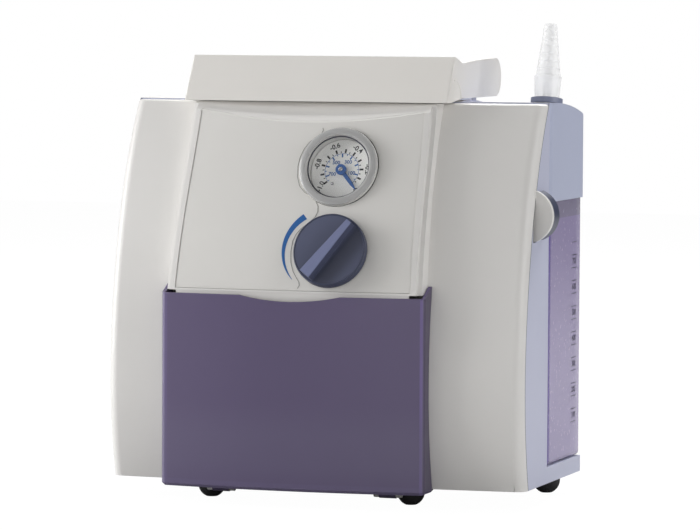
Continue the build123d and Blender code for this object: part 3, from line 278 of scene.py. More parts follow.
@dataclass(frozen=True)
class Moulded:
    """Injection-moulded plastic: fine spark grain, soft mottling, rounded edges with painted
    highlights, handling marks.

    Lengths are metres; grain, swells, rubs and ripples count the swells of a noise in a metre.
    """

    colour: Colour
    roughness: float = 0.42
    grain: float = 2600.0
    grain_depth: float = 0.00002
    mottle: float = 0.035
    edge_radius: float = 0.0006
    edge_highlight: float = 1.06
    coat: float = 0.0
    foot_darkening: float = 0.04
    top_colour: Optional[Colour] = None
    top_height: float = 0.268

    SWELLS = 14.0
    RUBS = 55.0
    RIPPLES = 240.0
    DARKENING_HEIGHT = 0.05
    DARKENING_FACTOR = 0.72
    TOP_FADE = 0.0005

    def build(self, book: ShaderBook) -> None:
        """Set up the shader of this finish."""
        swell = book.noise(self.SWELLS, 3.0)
        speck = book.noise(self.grain, 1.0)
        rubbed = book.noise(self.RUBS, 4.0).ramp(0.52, 0.78)
        body = book.mottled(swell, self.colour, 1 - self.mottle, 1 + self.mottle)
        if self.top_colour:
            level = book.height().ramp(self.top_height, self.top_height + self.TOP_FADE)
            body = book.tinge(book.facing_up() * level, body, self.top_colour)
        # Colour a little darker towards the bottom, over the lowest few centimetres.
        low = 1 - book.height().ramp(0.0, self.DARKENING_HEIGHT)
        body = book.tinge(low * self.foot_darkening, body, self.colour, self.DARKENING_FACTOR)
        # Painted highlight: the sharp edges are made lighter by a factor.
        body = book.tinge(book.edge(self.edge_radius) * 0.6, body, self.colour, self.edge_highlight)
        rough = self.roughness + (speck - 0.5) * 0.10 + rubbed * 0.06
        book.close({
            "Base Color": body, "Roughness": rough, "Coat Weight": self.coat,
            "Coat Roughness": 0.12,
            "Normal": book.bump(speck * 0.7 + book.noise(self.RIPPLES, 2.0) * 0.3,
                                self.grain_depth, self.edge_radius)})


@dataclass(frozen=True)
class Band:
    """Stretch of a piece between two places along an axis, in millimetres, of another colour."""

    axis: str
    low: float
    high: float
    colour: Colour
    share: float = 1.0
    soft: float = 0.3


@dataclass(frozen=True)
class Tinted:
    """See-through coloured plastic with flow lines, a gloss and slightly hazed faces."""

    colour: Colour
    alpha: float = 0.9
    edge_colour: Colour = (0.5, 0.5, 0.6)
    roughness: float = 0.22
    edge_radius: float = 0.0008
    haze: float = 0.03
    bands: Tuple[Band, ...] = ()
    side_shade: float = 0.0

    FLOW = 9.0
    SCUFFS = 420.0
    WAVES = 60.0
    WAVE_DEPTH = 0.00003

    def build(self, book: ShaderBook) -> None:
        """Set up the shader of this finish."""
        flow = book.noise(self.FLOW, 3.0, book.stretched((1.0, 1.0, 0.35)))
        scuffs = book.noise(self.SCUFFS, 4.0, book.stretched((1.0, 1.0, 0.6))).ramp(0.6, 0.8)
        body = book.mottled(flow, self.colour, 0.95, 1.07)
        for band in self.bands:
            low, high, soft = (v * MM for v in (band.low, band.high, band.soft))
            level = book.along(band.axis) - place(0, 0, 0)["XYZ".index(band.axis)]
            share = level.ramp(low - soft, low + soft) * (1 - level.ramp(high - soft, high + soft))
            body = book.tinge(share * band.share, body, band.colour)
        if self.side_shade:
            sideways = book.facing("X")
            body = book.tinge((sideways * sideways).ramp(0.5, 0.8) * 0.9, body, self.colour,
                              self.side_shade)
        # Sharp edges take the edge colour: a painted highlight on the pocket, deeper violet on the
        # jar and light grey on the connector.
        rim = book.edge(self.edge_radius)
        body = book.tinge(rim * 0.55, body, self.edge_colour)
        body = book.tinge(scuffs * self.haze, body, self.colour, 1.7)
        rough = self.roughness + flow * 0.06 + scuffs * 0.12
        book.close({
            "Base Color": body, "Roughness": rough, "IOR": 1.5,
            "Alpha": self.alpha + rim * (1 - self.alpha) * 0.7,
            "Coat Weight": 0.25, "Coat Roughness": 0.15,
            "Normal": book.bump(book.noise(self.WAVES, 2.0), self.WAVE_DEPTH, self.edge_radius)})


@dataclass(frozen=True)
class Metal:
    """Turned, cast or drawn metal with tool marks along one axis."""

    colour: Colour
    roughness: float = 0.3
    lines: Tuple[float, float, float] = (1.0, 1.0, 1.0)
    scale: float = 900.0
    depth: float = 0.00001
    edge_radius: float = 0.0003

    def build(self, book: ShaderBook) -> None:
        """Set up the shader of this finish."""
        marks = book.noise(self.scale, 3.0, book.stretched(self.lines))
        stain = book.noise(35.0, 4.0).ramp(0.45, 0.8)
        body = book.tinge(stain * 0.35, rgba(self.colour), self.colour, 0.72)
        # Painted highlight: the sharp edges are made lighter.
        body = book.tinge(book.edge(self.edge_radius) * 0.5, body, self.colour, 1.2)
        book.close({
            "Base Color": body, "Metallic": 1.0,
            "Roughness": self.roughness + (marks - 0.5) * 0.2 + stain * 0.1,
            "Normal": book.bump(marks, self.depth, self.edge_radius)})


@dataclass(frozen=True)
class Rubber:
    """Dull rubber with a fine pebble and a dusty bloom."""

    colour: Colour = (0.02, 0.02, 0.021)
    dust_colour: Colour = (0.07, 0.07, 0.072)
    roughness: float = 0.75
    bloom: float = 0.35

    def build(self, book: ShaderBook) -> None:
        """Set up the shader of this finish."""
        pebble = book.cells(1500.0)
        bloom = book.noise(90.0, 4.0).ramp(0.4, 0.8)
        body = book.tinge(bloom * self.bloom, rgba(self.colour), self.dust_colour)
        book.close({
            "Base Color": body, "Roughness": self.roughness + (pebble - 0.4) * 0.12,
            "Normal": book.bump(pebble, 0.00004, 0.0004)})


@dataclass(frozen=True)
class Ink:
    """Screen-printed ink: even colour with a slight raggedness and a satin surface."""

    colour: Colour
    roughness: float = 0.38

    def build(self, book: ShaderBook) -> None:
        """Set up the shader of this finish."""
        fleck = book.noise(5200.0, 2.0)
        body = book.mottled(fleck * 0.5, self.colour, 0.92, 1.12)
        book.close({
            "Base Color": body, "Roughness": self.roughness + fleck * 0.08,
            "Normal": book.bump(fleck, 0.000004, 0.00002)})


@dataclass(frozen=True)
class Glaze:
    """Clear colourless plastic of a window or bezel."""

    alpha: float = 0.12
    colour: Colour = (0.92, 0.93, 0.95)
    roughness: float = 0.06
    rim: float = 0.25
    shine: float = 0.5

    def build(self, book: ShaderBook) -> None:
        """Set up the shader of this finish."""
        smear = book.noise(160.0, 3.0)
        facing = book.node("ShaderNodeLayerWeight", {}, {"Blend": 0.35}).outputs["Facing"]
        body = book.mottled(smear, self.colour, 0.97, 1.0)
        alpha = self.alpha
        # Painted reflection: the glaze grows more opaque towards grazing angles, showing more of
        # its own colour.
        if self.rim:
            alpha = alpha + Signal(book, facing) * self.rim * (1 - self.alpha)
        book.close({
            "Base Color": body, "Roughness": self.roughness + smear * 0.05, "Alpha": alpha,
            "IOR": 1.49, "Specular IOR Level": self.shine,
            "Normal": book.bump(smear, 0.00001, 0.0005)})


@dataclass(frozen=True)
class PaintedKnobLight:
    """Plastic of the knob, with painted highlights on the grip bar's top and edges and painted
    shade beside the bar.

    Heights along the knob's axis and distances across the bar are metres, each pair a soft step.
    """

    colour: Colour
    roughness: float = 0.42
    centre: Tuple[float, float, float] = (KNOB_X, -40.5, KNOB_Z)
    lean: float = math.radians(36.0)
    crown: Point = (0.0124, 0.0130)
    shadow_near: Point = (0.003, 0.007)
    shadow_far: Point = (0.013, 0.024)
    light_side: Point = (-0.024, -0.006)
    grain: float = 2600.0
    grain_depth: float = 0.00002
    edge_radius: float = 0.0006

    def build(self, book: ShaderBook) -> None:
        """Set up the shader of this finish."""
        out = Vector((0, -math.cos(CONSOLE_TILT), math.sin(CONSOLE_TILT)))
        up = Vector((0, math.sin(CONSOLE_TILT), math.cos(CONSOLE_TILT)))
        across = Vector((math.cos(self.lean), 0, 0)) - up * math.sin(self.lean)
        middle = place(*self.centre)
        crown = book.reach(middle, out).ramp(*self.crown)
        side = book.reach(middle, across)
        speck = book.noise(self.grain, 1.0)
        body = book.mottled(book.noise(Moulded.SWELLS, 3.0), self.colour, 0.96, 1.04)
        # Painted shade on the flat disc beside the bar, painted light on its far side, and a
        # painted highlight on the bar's top and on the sharp edges.
        shadow = side.ramp(*self.shadow_near) * (1 - side.ramp(*self.shadow_far))
        body = book.tinge(shadow * (1 - crown) * 0.75, body, self.colour, 0.42)
        body = book.tinge((1 - side.ramp(*self.light_side)) * 0.3, body, self.colour, 1.5)
        body = book.tinge(crown, body, self.colour, 2.4)
        body = book.tinge(book.edge(self.edge_radius) * 0.6, body, self.colour, 2.2)
        book.close({
            "Base Color": body, "Roughness": self.roughness + (speck - 0.5) * 0.10,
            "Coat Weight": 0.05,
            "Normal": book.bump(speck, self.grain_depth, self.edge_radius)})


THIN_EDGE = {"edge_radius": 0.00004, "edge_highlight": 1.0}
# Pocket bands: lighter along its left edge, a painted highlight along its front right corner,
# lighter towards the bottom.
POCKET_BANDS = (
    Band("X", -108.0, -101.6, linear(116, 104, 148), 0.55, 0.6),
    Band("X", 84.4, 86.2, linear(126, 110, 164), 0.8),
    Band("Z", 8.0, 17.0, linear(112, 102, 138), 0.5, 0.8),
    Band("Z", 17.0, 62.0, linear(112, 104, 134), 0.5, 16.0))
JAR_BANDS = (
    Band("Y", 38.0, 48.5, linear(112, 94, 176), 0.85, 0.8),
    Band("Z", 200.0, 216.0, linear(160, 154, 178), 0.8),
    Band("Z", 20.0, 27.5, linear(130, 120, 148), 0.8, 2.0))


class Finish(Enum):
    """Every finish of the unit; the value is its recipe and the record's slot."""

    SHELL = (Moulded(linear(232, 230, 227), roughness=0.40, coat=0.04), "shell")
    HANDLE = (Moulded(linear(240, 237, 232), roughness=0.40, coat=0.04), "shell")
    HOUSING = (Moulded(linear(196, 199, 220), roughness=0.42, coat=0.03,
                       top_colour=linear(232, 230, 227)), "housing")
    PANEL = (Moulded(linear(229, 227, 223), roughness=0.48, grain=3400.0), "panel")
    FOIL = (Moulded(linear(229, 227, 223), roughness=0.5, grain=4200.0, **THIN_EDGE), "panel")
    SLATE = (Moulded(linear(138, 143, 163), roughness=0.38, coat=0.05, foot_darkening=0.0), "slate")
    # Painted shade: dark strips in the housing's side seams and a dark ring at the edge of the
    # dial.
    SEAM = (Moulded(linear(64, 64, 78), roughness=0.6, **THIN_EDGE), "housing")
    FOIL_RIM = (Moulded(linear(150, 148, 145), roughness=0.5, **THIN_EDGE), "panel")
    PEG = (Moulded(linear(62, 67, 90), roughness=0.42, foot_darkening=0.0), "slate")
    KNOB = (PaintedKnobLight(linear(80, 85, 110)), "slate")
    LID = (Moulded(linear(190, 196, 219), roughness=0.40, coat=0.03, foot_darkening=0.0), "lid")
    POCKET = (Tinted(linear(101, 90, 124), alpha=0.93, edge_colour=linear(140, 130, 168),
                     roughness=0.34, edge_radius=0.0011, bands=POCKET_BANDS, side_shade=0.55),
              "tinted")
    JAR = (Tinted(linear(176, 164, 206), alpha=0.70, edge_colour=linear(112, 98, 168),
                  roughness=0.22, edge_radius=0.0014, bands=JAR_BANDS), "jar_clear")
    CONNECTOR = (Tinted(linear(253, 253, 253), alpha=0.3, edge_colour=linear(240, 240, 242),
                        roughness=0.36, edge_radius=0.0005, haze=0.0), "white")
    WHITE = (Moulded(linear(232, 232, 230), roughness=0.4), "white")
    CASE = (Moulded(linear(214, 213, 210), roughness=0.30, coat=0.1, foot_darkening=0.0), "clear")
    CLEAR = (Glaze(alpha=0.03, colour=(0.6, 0.6, 0.6), roughness=0.05, rim=0.0), "clear")
    BEZEL = (Glaze(alpha=0.5, colour=(0.60, 0.60, 0.60), roughness=0.1), "clear")
    DIAL = (Moulded(linear(250, 250, 248), roughness=0.5, mottle=0.01, foot_darkening=0.0), "dial")
    BLUE_INK = (Ink(linear(30, 100, 172)), "needle")
    BLACK_INK = (Ink(linear(28, 30, 36)), "black")
    VIOLET_INK = (Ink(linear(52, 48, 78)), "black")
    NEEDLE = (Moulded(linear(44, 96, 166), roughness=0.4, foot_darkening=0.0), "needle")
    RUBBER = (Rubber(), "rubber")
    BLACK = (Moulded(linear(34, 34, 37), roughness=0.45, edge_highlight=1.8), "black")
    STEEL = (Metal((0.56, 0.56, 0.58), roughness=0.26, lines=(1.0, 1.0, 8.0)), "steel")
    ALUMINIUM = (Metal((0.62, 0.63, 0.65), roughness=0.42, scale=1600.0, depth=0.00003),
                 "aluminium")
    BRASS = (Metal((0.72, 0.55, 0.27), lines=(8.0, 1.0, 1.0)), "brass")
    BOARD = (Moulded(linear(36, 96, 62), roughness=0.4, foot_darkening=0.0), "board")

    def material(self) -> bpy.types.Material:
        """The finish's material, built once, under a name that no imported material has."""
        name = f"finish_{self.name.lower()}"
        made = bpy.data.materials.get(name)
        if made is None:
            made = bpy.data.materials.new(name)
            self.value[0].build(ShaderBook(made))
        return made

    @property
    def slot(self) -> str:
        """Material slot of the record that the finish belongs to."""
        return self.value[1]


class Group:
    """Pieces that belong together, with the finish of each CAD node among them."""

    NODES: Dict[Finish, Sequence[str]] = {}

    def dress(self) -> None:
        """Give each CAD node its finish; the meshes stay as they are."""
        for finish, nodes in self.NODES.items():
            for node in nodes:
                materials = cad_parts[node].data.materials
                if not materials:
                    materials.append(finish.material())
                for index in range(len(materials)):
                    materials[index] = finish.material()
                log.info("dressed %s", node)

    def build(self) -> None:
        """Add the pieces that only the scene has, where the group has any."""


class Shape:
    """Mesh in the making, added up from turned rings, plates, thin sheets and numerals."""

    SHARP_ANGLE = math.radians(32)

    def __init__(self) -> None:
        """Start with an empty mesh."""
        self.work = bmesh.new()

    def make(self, name: str, finish: Finish, body: str, smooth: bool = True) -> None:
        """Turn the mesh into a piece of the unit.

        Args:
            name: name of the piece.
            finish: its finish.
            body: the moving group that it rides on.
            smooth: whether its faces are shaded smooth.
        """
        work = self.work
        bmesh.ops.recalc_face_normals(work, faces=work.faces)
        if work.calc_volume(signed=True) < 0:
            bmesh.ops.reverse_faces(work, faces=work.faces)
        mesh = bpy.data.meshes.new(name)
        work.to_mesh(mesh)
        work.free()
        if smooth:
            mesh.shade_smooth()
            mesh.set_sharp_from_angle(angle=self.SHARP_ANGLE)
        mesh.materials.append(finish.material())
        item = add(name, mesh)
        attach(item, body)
        log.info("built %s", name)

    def lathe(self, profile: Sequence[Point], plane: Matrix, steps: int) -> "Shape":
        """Turn a closed outline of (radius, height) in millimetres round a plane's normal."""
        rings = []
        for step in range(steps):
            angle = 2 * math.pi * step / steps
            rings.append([self.work.verts.new(plane @ polar(r, angle, h)) for r, h in profile])
        count = len(profile)
        for step in range(steps):
            ring, following = rings[step], rings[(step + 1) % steps]
            for k in range(count):
                after = (k + 1) % count
                self.work.faces.new((ring[k], ring[after], following[after], following[k]))
        return self

    def slab(self, outline: Sequence[Vector], depth: Vector) -> "Shape":
        """Plate of a flat outline and a thickness, both in metres."""
        low = [self.work.verts.new(p) for p in outline]
        high = [self.work.verts.new(p + depth) for p in outline]
        self.work.faces.new(low)
        self.work.faces.new(list(reversed(high)))
        for k in range(len(low)):
            after = (k + 1) % len(low)
            self.work.faces.new((low[k], high[k], high[after], low[after]))
        return self

    def sheet(self, rows: Sequence[Sequence[Vector]], lift: Vector) -> "Shape":
        """Thin closed sheet on rows of points, with its thickness as a vector, in metres."""
        vertex, face = self.work.verts.new, self.work.faces.new
        under = [[vertex(p) for p in row] for row in rows]
        over = [[vertex(p + lift) for p in row] for row in rows]
        high, wide = len(rows), len(rows[0])
        for i in range(high - 1):
            for j in range(wide - 1):
                face((under[i][j], under[i][j + 1], under[i + 1][j + 1], under[i + 1][j]))
                face((over[i][j], over[i + 1][j], over[i + 1][j + 1], over[i][j + 1]))
        for i in range(high - 1):
            for j in (0, wide - 1):
                face((under[i][j], under[i + 1][j], over[i + 1][j], over[i][j]))
        for j in range(wide - 1):
            for i in (0, high - 1):
                face((under[i][j], over[i][j], over[i][j + 1], under[i][j + 1]))
        return self

    def numerals(self, words: Iterable[Tuple[str, Matrix, float]], depth: float) -> "Shape":
        """Raised numerals: the text, centred place and height in metres of each."""
        for text, plane, size in words:
            curve = bpy.data.curves.new("numeral", "FONT")
            curve.body = text
            curve.size = size
            curve.align_x = "CENTER"
            curve.align_y = "CENTER"
            curve.extrude = depth / 2
            curve.offset = size * 0.02
            curve.resolution_u = 3
            item = add("numeral", curve)
            bpy.context.view_layer.update()
            mesh = bpy.data.meshes.new_from_object(item.evaluated_get(
                bpy.context.evaluated_depsgraph_get()))
            mesh.transform(plane)
            self.work.from_mesh(mesh)
            bpy.data.objects.remove(item)
            bpy.data.curves.remove(curve)
            bpy.data.meshes.remove(mesh)
        return self


class PanelFace:
    """The bowed face of the inset panel, found from its CAD node."""

    AXIS = Vector((0.0, -math.cos(CONSOLE_TILT), math.sin(CONSOLE_TILT)))
    LINE = ((-42.0, 150.0), (-34.5, 180.0), (-22.5, 214.0), (-5.5, 255.0), (3.7, 281.4))
    SAG = 6.0
    SAG_HALF = 110.0
    AHEAD = -120.0

    def __init__(self) -> None:
        """Read the panel's faces."""
        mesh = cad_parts["control_panel"].data
        self.tree = BVHTree.FromPolygons([v.co for v in mesh.vertices],
                                         [tuple(p.vertices) for p in mesh.polygons])

    @classmethod
    def nominal(cls, x: float, z: float) -> Vector:
        """Point of the console's front at a place across and up, in drawing millimetres."""
        bow = cls.SAG * (1 - ((x - CONSOLE_MIDDLE) / cls.SAG_HALF) ** 2)
        return Vector((x, on_line(cls.LINE, z) - bow, z))

    @classmethod
    def plane(cls, x: float, z: float, out: float) -> Matrix:
        """Plane lifted out of the console, square to the gauge and knob: X right, Y up, Z out."""
        centre = cls.nominal(x, z) + cls.AXIS * out
        up = cls.AXIS.cross(Vector((1, 0, 0)))
        turn = Matrix((Vector((1, 0, 0)), up, cls.AXIS)).transposed()
        return Matrix.Translation(place(*centre)) @ turn.to_4x4()

    def on(self, x: float, z: float, lift: float = 0.02) -> Vector:
        """Point on the panel's face, in metres, lifted by millimetres."""
        start = place(x, self.AHEAD, z)
        hit = self.tree.ray_cast(start, Vector((0, 1, 0)))[0]
        point = hit if hit is not None else place(*self.nominal(x, z))
        return point + self.AXIS * lift * MM


@dataclass
class Housing(Group):
    """Front shell, rear housing and what stands fixed on them."""

    NODES = {Finish.SHELL: ("front_shell", "pocket_hinges"),
             Finish.HOUSING: ("rear_housing", "handle_pivots", "board_shelf"),
             Finish.PEG: ("hose_peg",), Finish.RUBBER: ("rubber_feet",)}

    screw_columns: Tuple[float, ...] = (-141.0, 0.0, 78.0)
    screw_rows: Tuple[float, ...] = (26.0, 258.0)
    screw_radius: float = 4.2
    screw_gap: float = 0.02
    recess_half: Point = (1.9, 0.35)
    recess_floor: float = 0.5
    recess_web: float = 0.15
    seam_line: Tuple[Point, ...] = ((-9.6, 9.0), (-19.6, 85.0), (-14.5, 145.0), (-5.4, 187.0),
                                    (12.8, 239.0), (36.6, 281.4))
    seam_reach: float = 4.0
    seam_step: float = 4.0
    side_slack: float = 0.1
    seam_shade_width: float = 0.6
    seam_shade_lap: float = 0.1
    seam_shade_proud: float = 0.06

    def build(self) -> None:
        """Screws in the back face, and dark strips of painted shade in the two side seams."""
        screws = Shape()
        for x in self.screw_columns:
            for z in self.screw_rows:
                self._screw(screws, place(x, HOUSING_BACK + self.screw_gap, z))
        screws.make("housing_screws", Finish.STEEL, "housing")
        for side, name in ((-1, "seam_shade_left"), (1, "seam_shade_right")):
            self._seam_shade(side).make(name, Finish.SEAM, "housing", smooth=False)

    def _screw(self, screws: Shape, centre: Vector) -> None:
        """Round head with a cross recess, turned to the back."""
        plane = (Matrix.Translation(centre) @ Matrix.Rotation(math.radians(90), 4, "X")
                 @ Matrix.Rotation(math.pi, 4, "X"))
        r = self.screw_radius
        screws.lathe([(0.9, 0.0), (r, 0.0), (r, 0.9), (r - 0.5, 1.6), (r - 1.6, 2.0), (1.9, 2.1),
                      (1.6, 0.6), (0.9, 0.5)], plane, 40)
        long, wide = self.recess_half
        for turn in (45, 135):
            spin = plane @ Matrix.Rotation(math.radians(turn), 4, "Z")
            corners = [spin @ (Vector((x * long, y * wide, self.recess_floor)) * MM)
                       for x, y in SQUARE]
            screws.slab(corners, (spin.to_3x3() @ Vector((0, 0, self.recess_web))) * MM)

    def _seam_shade(self, side: int) -> Shape:
        """Dark strip of painted shade along the seam of the front shell and the rear housing."""
        points = [v.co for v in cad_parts["rear_housing"].data.vertices]
        edge = max(side * p.x for p in points)
        levels: Dict[int, Vector] = {}
        for p in points:
            drawn = p / MM - ORIGIN
            off_seam = abs(drawn.y - on_line(self.seam_line, drawn.z))
            if side * p.x > edge - self.side_slack * MM and off_seam < self.seam_reach:
                key = round(drawn.z / self.seam_step)
                if key not in levels or p.y < levels[key].y:
                    levels[key] = p
        rows = [[Vector((side * edge, levels[key].y + dy * MM, levels[key].z))
                 for dy in (-self.seam_shade_width, self.seam_shade_lap)] for key in sorted(levels)]
        return Shape().sheet(rows, Vector((side * self.seam_shade_proud * MM, 0, 0)))


@dataclass
class FrontPanel(Group):
    """Inset panel with its foil, the lip behind the pocket and the printed arc at the knob."""

    NODES = {Finish.PANEL: ("control_panel",)}

    face: PanelFace = field(default_factory=PanelFace)
    half_low: float = 85.8
    half_high: float = 82.0
    bottom: float = 153.2
    scoop_low: float = 266.4
    scoop_half: float = 83.0
    scoop_rise: float = 7.6
    foil_gap: float = 1.5
    foil_lift: float = 0.03
    foil_thickness: float = 0.10
    rim_gap: float = 2.5
    rim_lift: float = 0.05
    rim_span: Point = (-0.1, 0.45)
    skirt_seat: float = 150.0
    skirt_line: Tuple[Point, ...] = ((0.1, 150.2), (0.3, 143.2))
    skirt_thickness: float = 0.8
    arc_start: float = 131.0
    arc_end: float = 217.0
    arc_radius: float = 34.0
    arc_bulge: float = 1.6
    arc_drift: float = 0.2
    arc_half: float = 2.2
    arc_tip: float = 0.06
    arc_lift: float = 0.16
    arc_thickness: float = 0.06
    foil_line: Tuple[Point, ...] = (
        (-4.5, 153.0), (-3.2, 155.2), (-3.6, 157.6), (-5.5, 160.2), (-8.6, 165.0),
        (-10.8, 171.0), (-11.5, 178.5), (-10.9, 185.6), (-9.0, 190.4), (-5.6, 194.6),
        (-0.6, 198.6), (3.4, 202.2), (5.0, 206.0), (4.6, 210.0), (2.4, 213.6),
        (-1.5, 216.6), (-6.5, 219.2), (-10.8, 223.5), (-13.4, 230.0), (-14.1, 236.8),
        (-13.3, 243.5), (-11.0, 249.5), (-7.3, 254.5), (-2.6, 258.0), (0.6, 260.5),
        (1.2, 262.5), (0.3, 265.0), (-1.0, 266.5))

    def build(self) -> None:
        """Foil, the line at its edge, the lip and the arc, all following the panel's bow."""
        outward = PanelFace.AXIS
        for name, rows, thickness, finish in (
                ("panel_foil", self._foil(), outward * self.foil_thickness, Finish.FOIL),
                ("foil_rim", self._rim(), outward * self.foil_thickness, Finish.FOIL_RIM),
                ("panel_skirt", self._skirt(), Vector((0, self.skirt_thickness, 0)), Finish.PANEL),
                ("flow_arc", self._arc(), outward * self.arc_thickness, Finish.BLUE_INK)):
            Shape().sheet(rows, thickness * MM).make(name, finish, "housing")

    def _foil(self) -> List[List[Vector]]:
        """Rows of the foil, from its straight lower edge up to the scoop's curve."""
        crest = self.scoop_low - self.foil_gap
        rows = []
        for up in shares(96):
            left = CONSOLE_MIDDLE - (self.half_low + (self.half_high - self.half_low) * up)
            right = on_line(self.foil_line, self.bottom + up * (crest - self.bottom))
            row = []
            for over in shares(48):
                x = left + (right - left) * over
                top = crest + self.scoop_rise * ((x - CONSOLE_MIDDLE) / self.scoop_half) ** 2
                row.append(self.face.on(x, self.bottom + up * (top - self.bottom), self.foil_lift))
            rows.append(row)
        return rows

    def _rim(self) -> List[List[Vector]]:
        """Rows of the fine line along the foil's right edge."""
        rows = []
        for up in shares(161):
            level = self.bottom + (self.scoop_low - self.rim_gap - self.bottom) * up
            right = on_line(self.foil_line, level)
            rows.append([self.face.on(right + dx, level, self.rim_lift) for dx in self.rim_span])
        return rows

    def _skirt(self) -> List[List[Vector]]:
        """Rows of the lip that goes down behind the pocket."""
        rows = []
        for over in shares(25):
            x = CONSOLE_MIDDLE + self.half_low * (2 * over - 1)
            seat = PanelFace.nominal(x, self.skirt_seat).y
            rows.append([place(x, seat + back, z) for back, z in self.skirt_line])
        return rows

    def _arc(self) -> List[List[Vector]]:
        """Rows of the arc, which tapers from its broad upper end to a point."""
        rows = []
        for share in shares(49):
            angle = math.radians(self.arc_start + (self.arc_end - self.arc_start) * share)
            middle = (self.arc_radius + self.arc_bulge * math.sin(math.pi * share)
                      + self.arc_drift * share)
            half = self.arc_half * (1 - share) ** 0.75 + self.arc_tip
            rows.append([self._round_knob(middle + half * (2 * over - 1), angle)
                         for over in shares(5)])
        return rows

    def _round_knob(self, radius: float, angle: float) -> Vector:
        """Point of the panel's face at a radius and angle round the knob."""
        drawn = PanelFace.plane(KNOB_X, KNOB_Z, 0.0) @ polar(radius, angle) / MM - ORIGIN
        return self.face.on(drawn.x, drawn.z, self.arc_lift)


@dataclass
class Gauge(Group):
    """Vacuum gauge with a black outer scale, a blue inner scale and a clear bezel."""

    NODES = {Finish.CASE: ("gauge_case",), Finish.DIAL: ("gauge_dial",),
             Finish.NEEDLE: ("gauge_needle",), Finish.CLEAR: ("gauge_lens",)}

    x: float = 16.5
    z: float = 236.8
    start: float = -50.0
    sweep: float = 270.0
    dial_lift: float = -6.93
    cap_lift: float = -3.75
    rim_lift: float = 3.22
    stop_place: Tuple[float, float, float] = (-5.8, -9.9, -0.01)
    ink: float = 0.05
    ring_radius: float = 12.4
    ring_width: float = 0.3
    bezel: Tuple[Point, ...] = (
        (23.1, -1.6), (23.1, 0.3), (23.8, 0.9), (25.4, 1.1), (27.2, 0.7), (28.2, 0.0),
        (28.4, -0.5), (27.4, 0.02), (23.7, 0.02), (23.7, -1.6))

    def build(self) -> None:
        """Scales with their numerals, then the turned pieces."""
        dial, cap, rim = (PanelFace.plane(self.x, self.z, lift)
                          for lift in (self.dial_lift, self.cap_lift, self.rim_lift))
        black, blue = Shape(), Shape()
        self._marks(black, dial, 21, (12.9, 15.8, 1.3), (12.9, 14.2, 0.6))
        self._marks(blue, dial, 16, (9.7, 12.3, 1.0), (11.1, 12.3, 0.5))
        self._ring(blue, dial)
        outer = [self._numeral(dial, tenths / 10, f"-{tenths / 10}", 18.7, 5.0)
                 for tenths in (2, 4, 6, 8, 10)]
        outer.append(self._numeral(dial, 0.0, "0", 18.0, 4.8))
        inner = [self._numeral(dial, 2 * hundreds / 15, str(100 * hundreds), 7.4, 3.7, upright=True)
                 for hundreds in (1, 3, 5, 7)]
        black.numerals(outer, self.ink * MM)
        blue.numerals(inner, self.ink * MM)
        black.make("dial_outer_scale", Finish.BLACK_INK, "housing", smooth=False)
        blue.make("dial_inner_scale", Finish.BLUE_INK, "housing", smooth=False)
        stop = dial @ Matrix.Translation(Vector(self.stop_place) * MM)
        for name, profile, plane, steps, finish, body in (
                ("needle_cap", self._pin(1.5, 0.5, 1.1, 0.9), cap, 48, Finish.STEEL, "needle"),
                ("gauge_bezel", self.bezel, rim, 128, Finish.BEZEL, "housing"),
                ("gauge_gasket", self._hoop(28.62, 29.05, -3.3, -2.85), rim, 128,
                 Finish.BLACK_INK, "housing"),
                ("dial_shadow_ring", self._hoop(21.9, 22.8, -1.9, -1.75), rim, 128,
                 Finish.SEAM, "housing"),
                ("dial_stop", self._pin(1.1, 0.8, 0.8, 1.1), stop, 32, Finish.STEEL, "housing")):
            Shape().lathe(profile, plane, steps).make(name, finish, body)

    @staticmethod
    def _pin(radius: float, straight: float, top: float, height: float) -> List[Point]:
        """Outline of a pin with a chamfered, slightly domed end."""
        bore, dome = 0.02, 0.05
        return [(bore, 0.0), (radius, 0.0), (radius, straight), (top, height),
                (bore, height + dome)]

    @staticmethod
    def _hoop(inner: float, outer: float, low: float, high: float) -> List[Point]:
        """Outline of a ring of square section."""
        return [(inner, low), (outer, low), (outer, high), (inner, high)]

    def _marks(self, scale: Shape, plane: Matrix, count: int,
               main: Sequence[float], minor: Sequence[float]) -> None:
        """Main and minor marks in turn, each with its inner and outer radius and its width."""
        for step, share in enumerate(shares(count)):
            low, high, width = minor if step % 2 else main
            turn = plane @ Matrix.Rotation(math.radians(self.start + self.sweep * share), 4, "Z")
            corners = [turn @ (Vector((r, s * width / 2, 0)) * MM)
                       for r, s in ((low, -1), (high, -1), (high, 1), (low, 1))]
            scale.slab(corners, PanelFace.AXIS * self.ink * MM)

    def _ring(self, scale: Shape, plane: Matrix) -> None:
        """Printed line along the outer ends of the inner marks."""
        half = self.ring_width / 2
        rows = [[plane @ polar(r, math.radians(self.start + self.sweep * share))
                 for r in (self.ring_radius - half, self.ring_radius + half)]
                for share in shares(97)]
        scale.sheet(rows, PanelFace.AXIS * self.ink * MM)

    def _numeral(self, plane: Matrix, value: float, text: str, radius: float, size: float,
                 upright: bool = False) -> Tuple[str, Matrix, float]:
        """Text, place and size of one numeral; those at the dial's foot lean less."""
        angle = math.radians(self.start + self.sweep * value)
        spot = Matrix.Translation(polar(radius, angle, 0.03))
        lean = 0.0 if upright else angle - math.pi / 2
        if not upright and math.sin(angle) < -0.5:
            lean *= 0.55
        return text, plane @ spot @ Matrix.Rotation(lean, 4, "Z"), size * MM


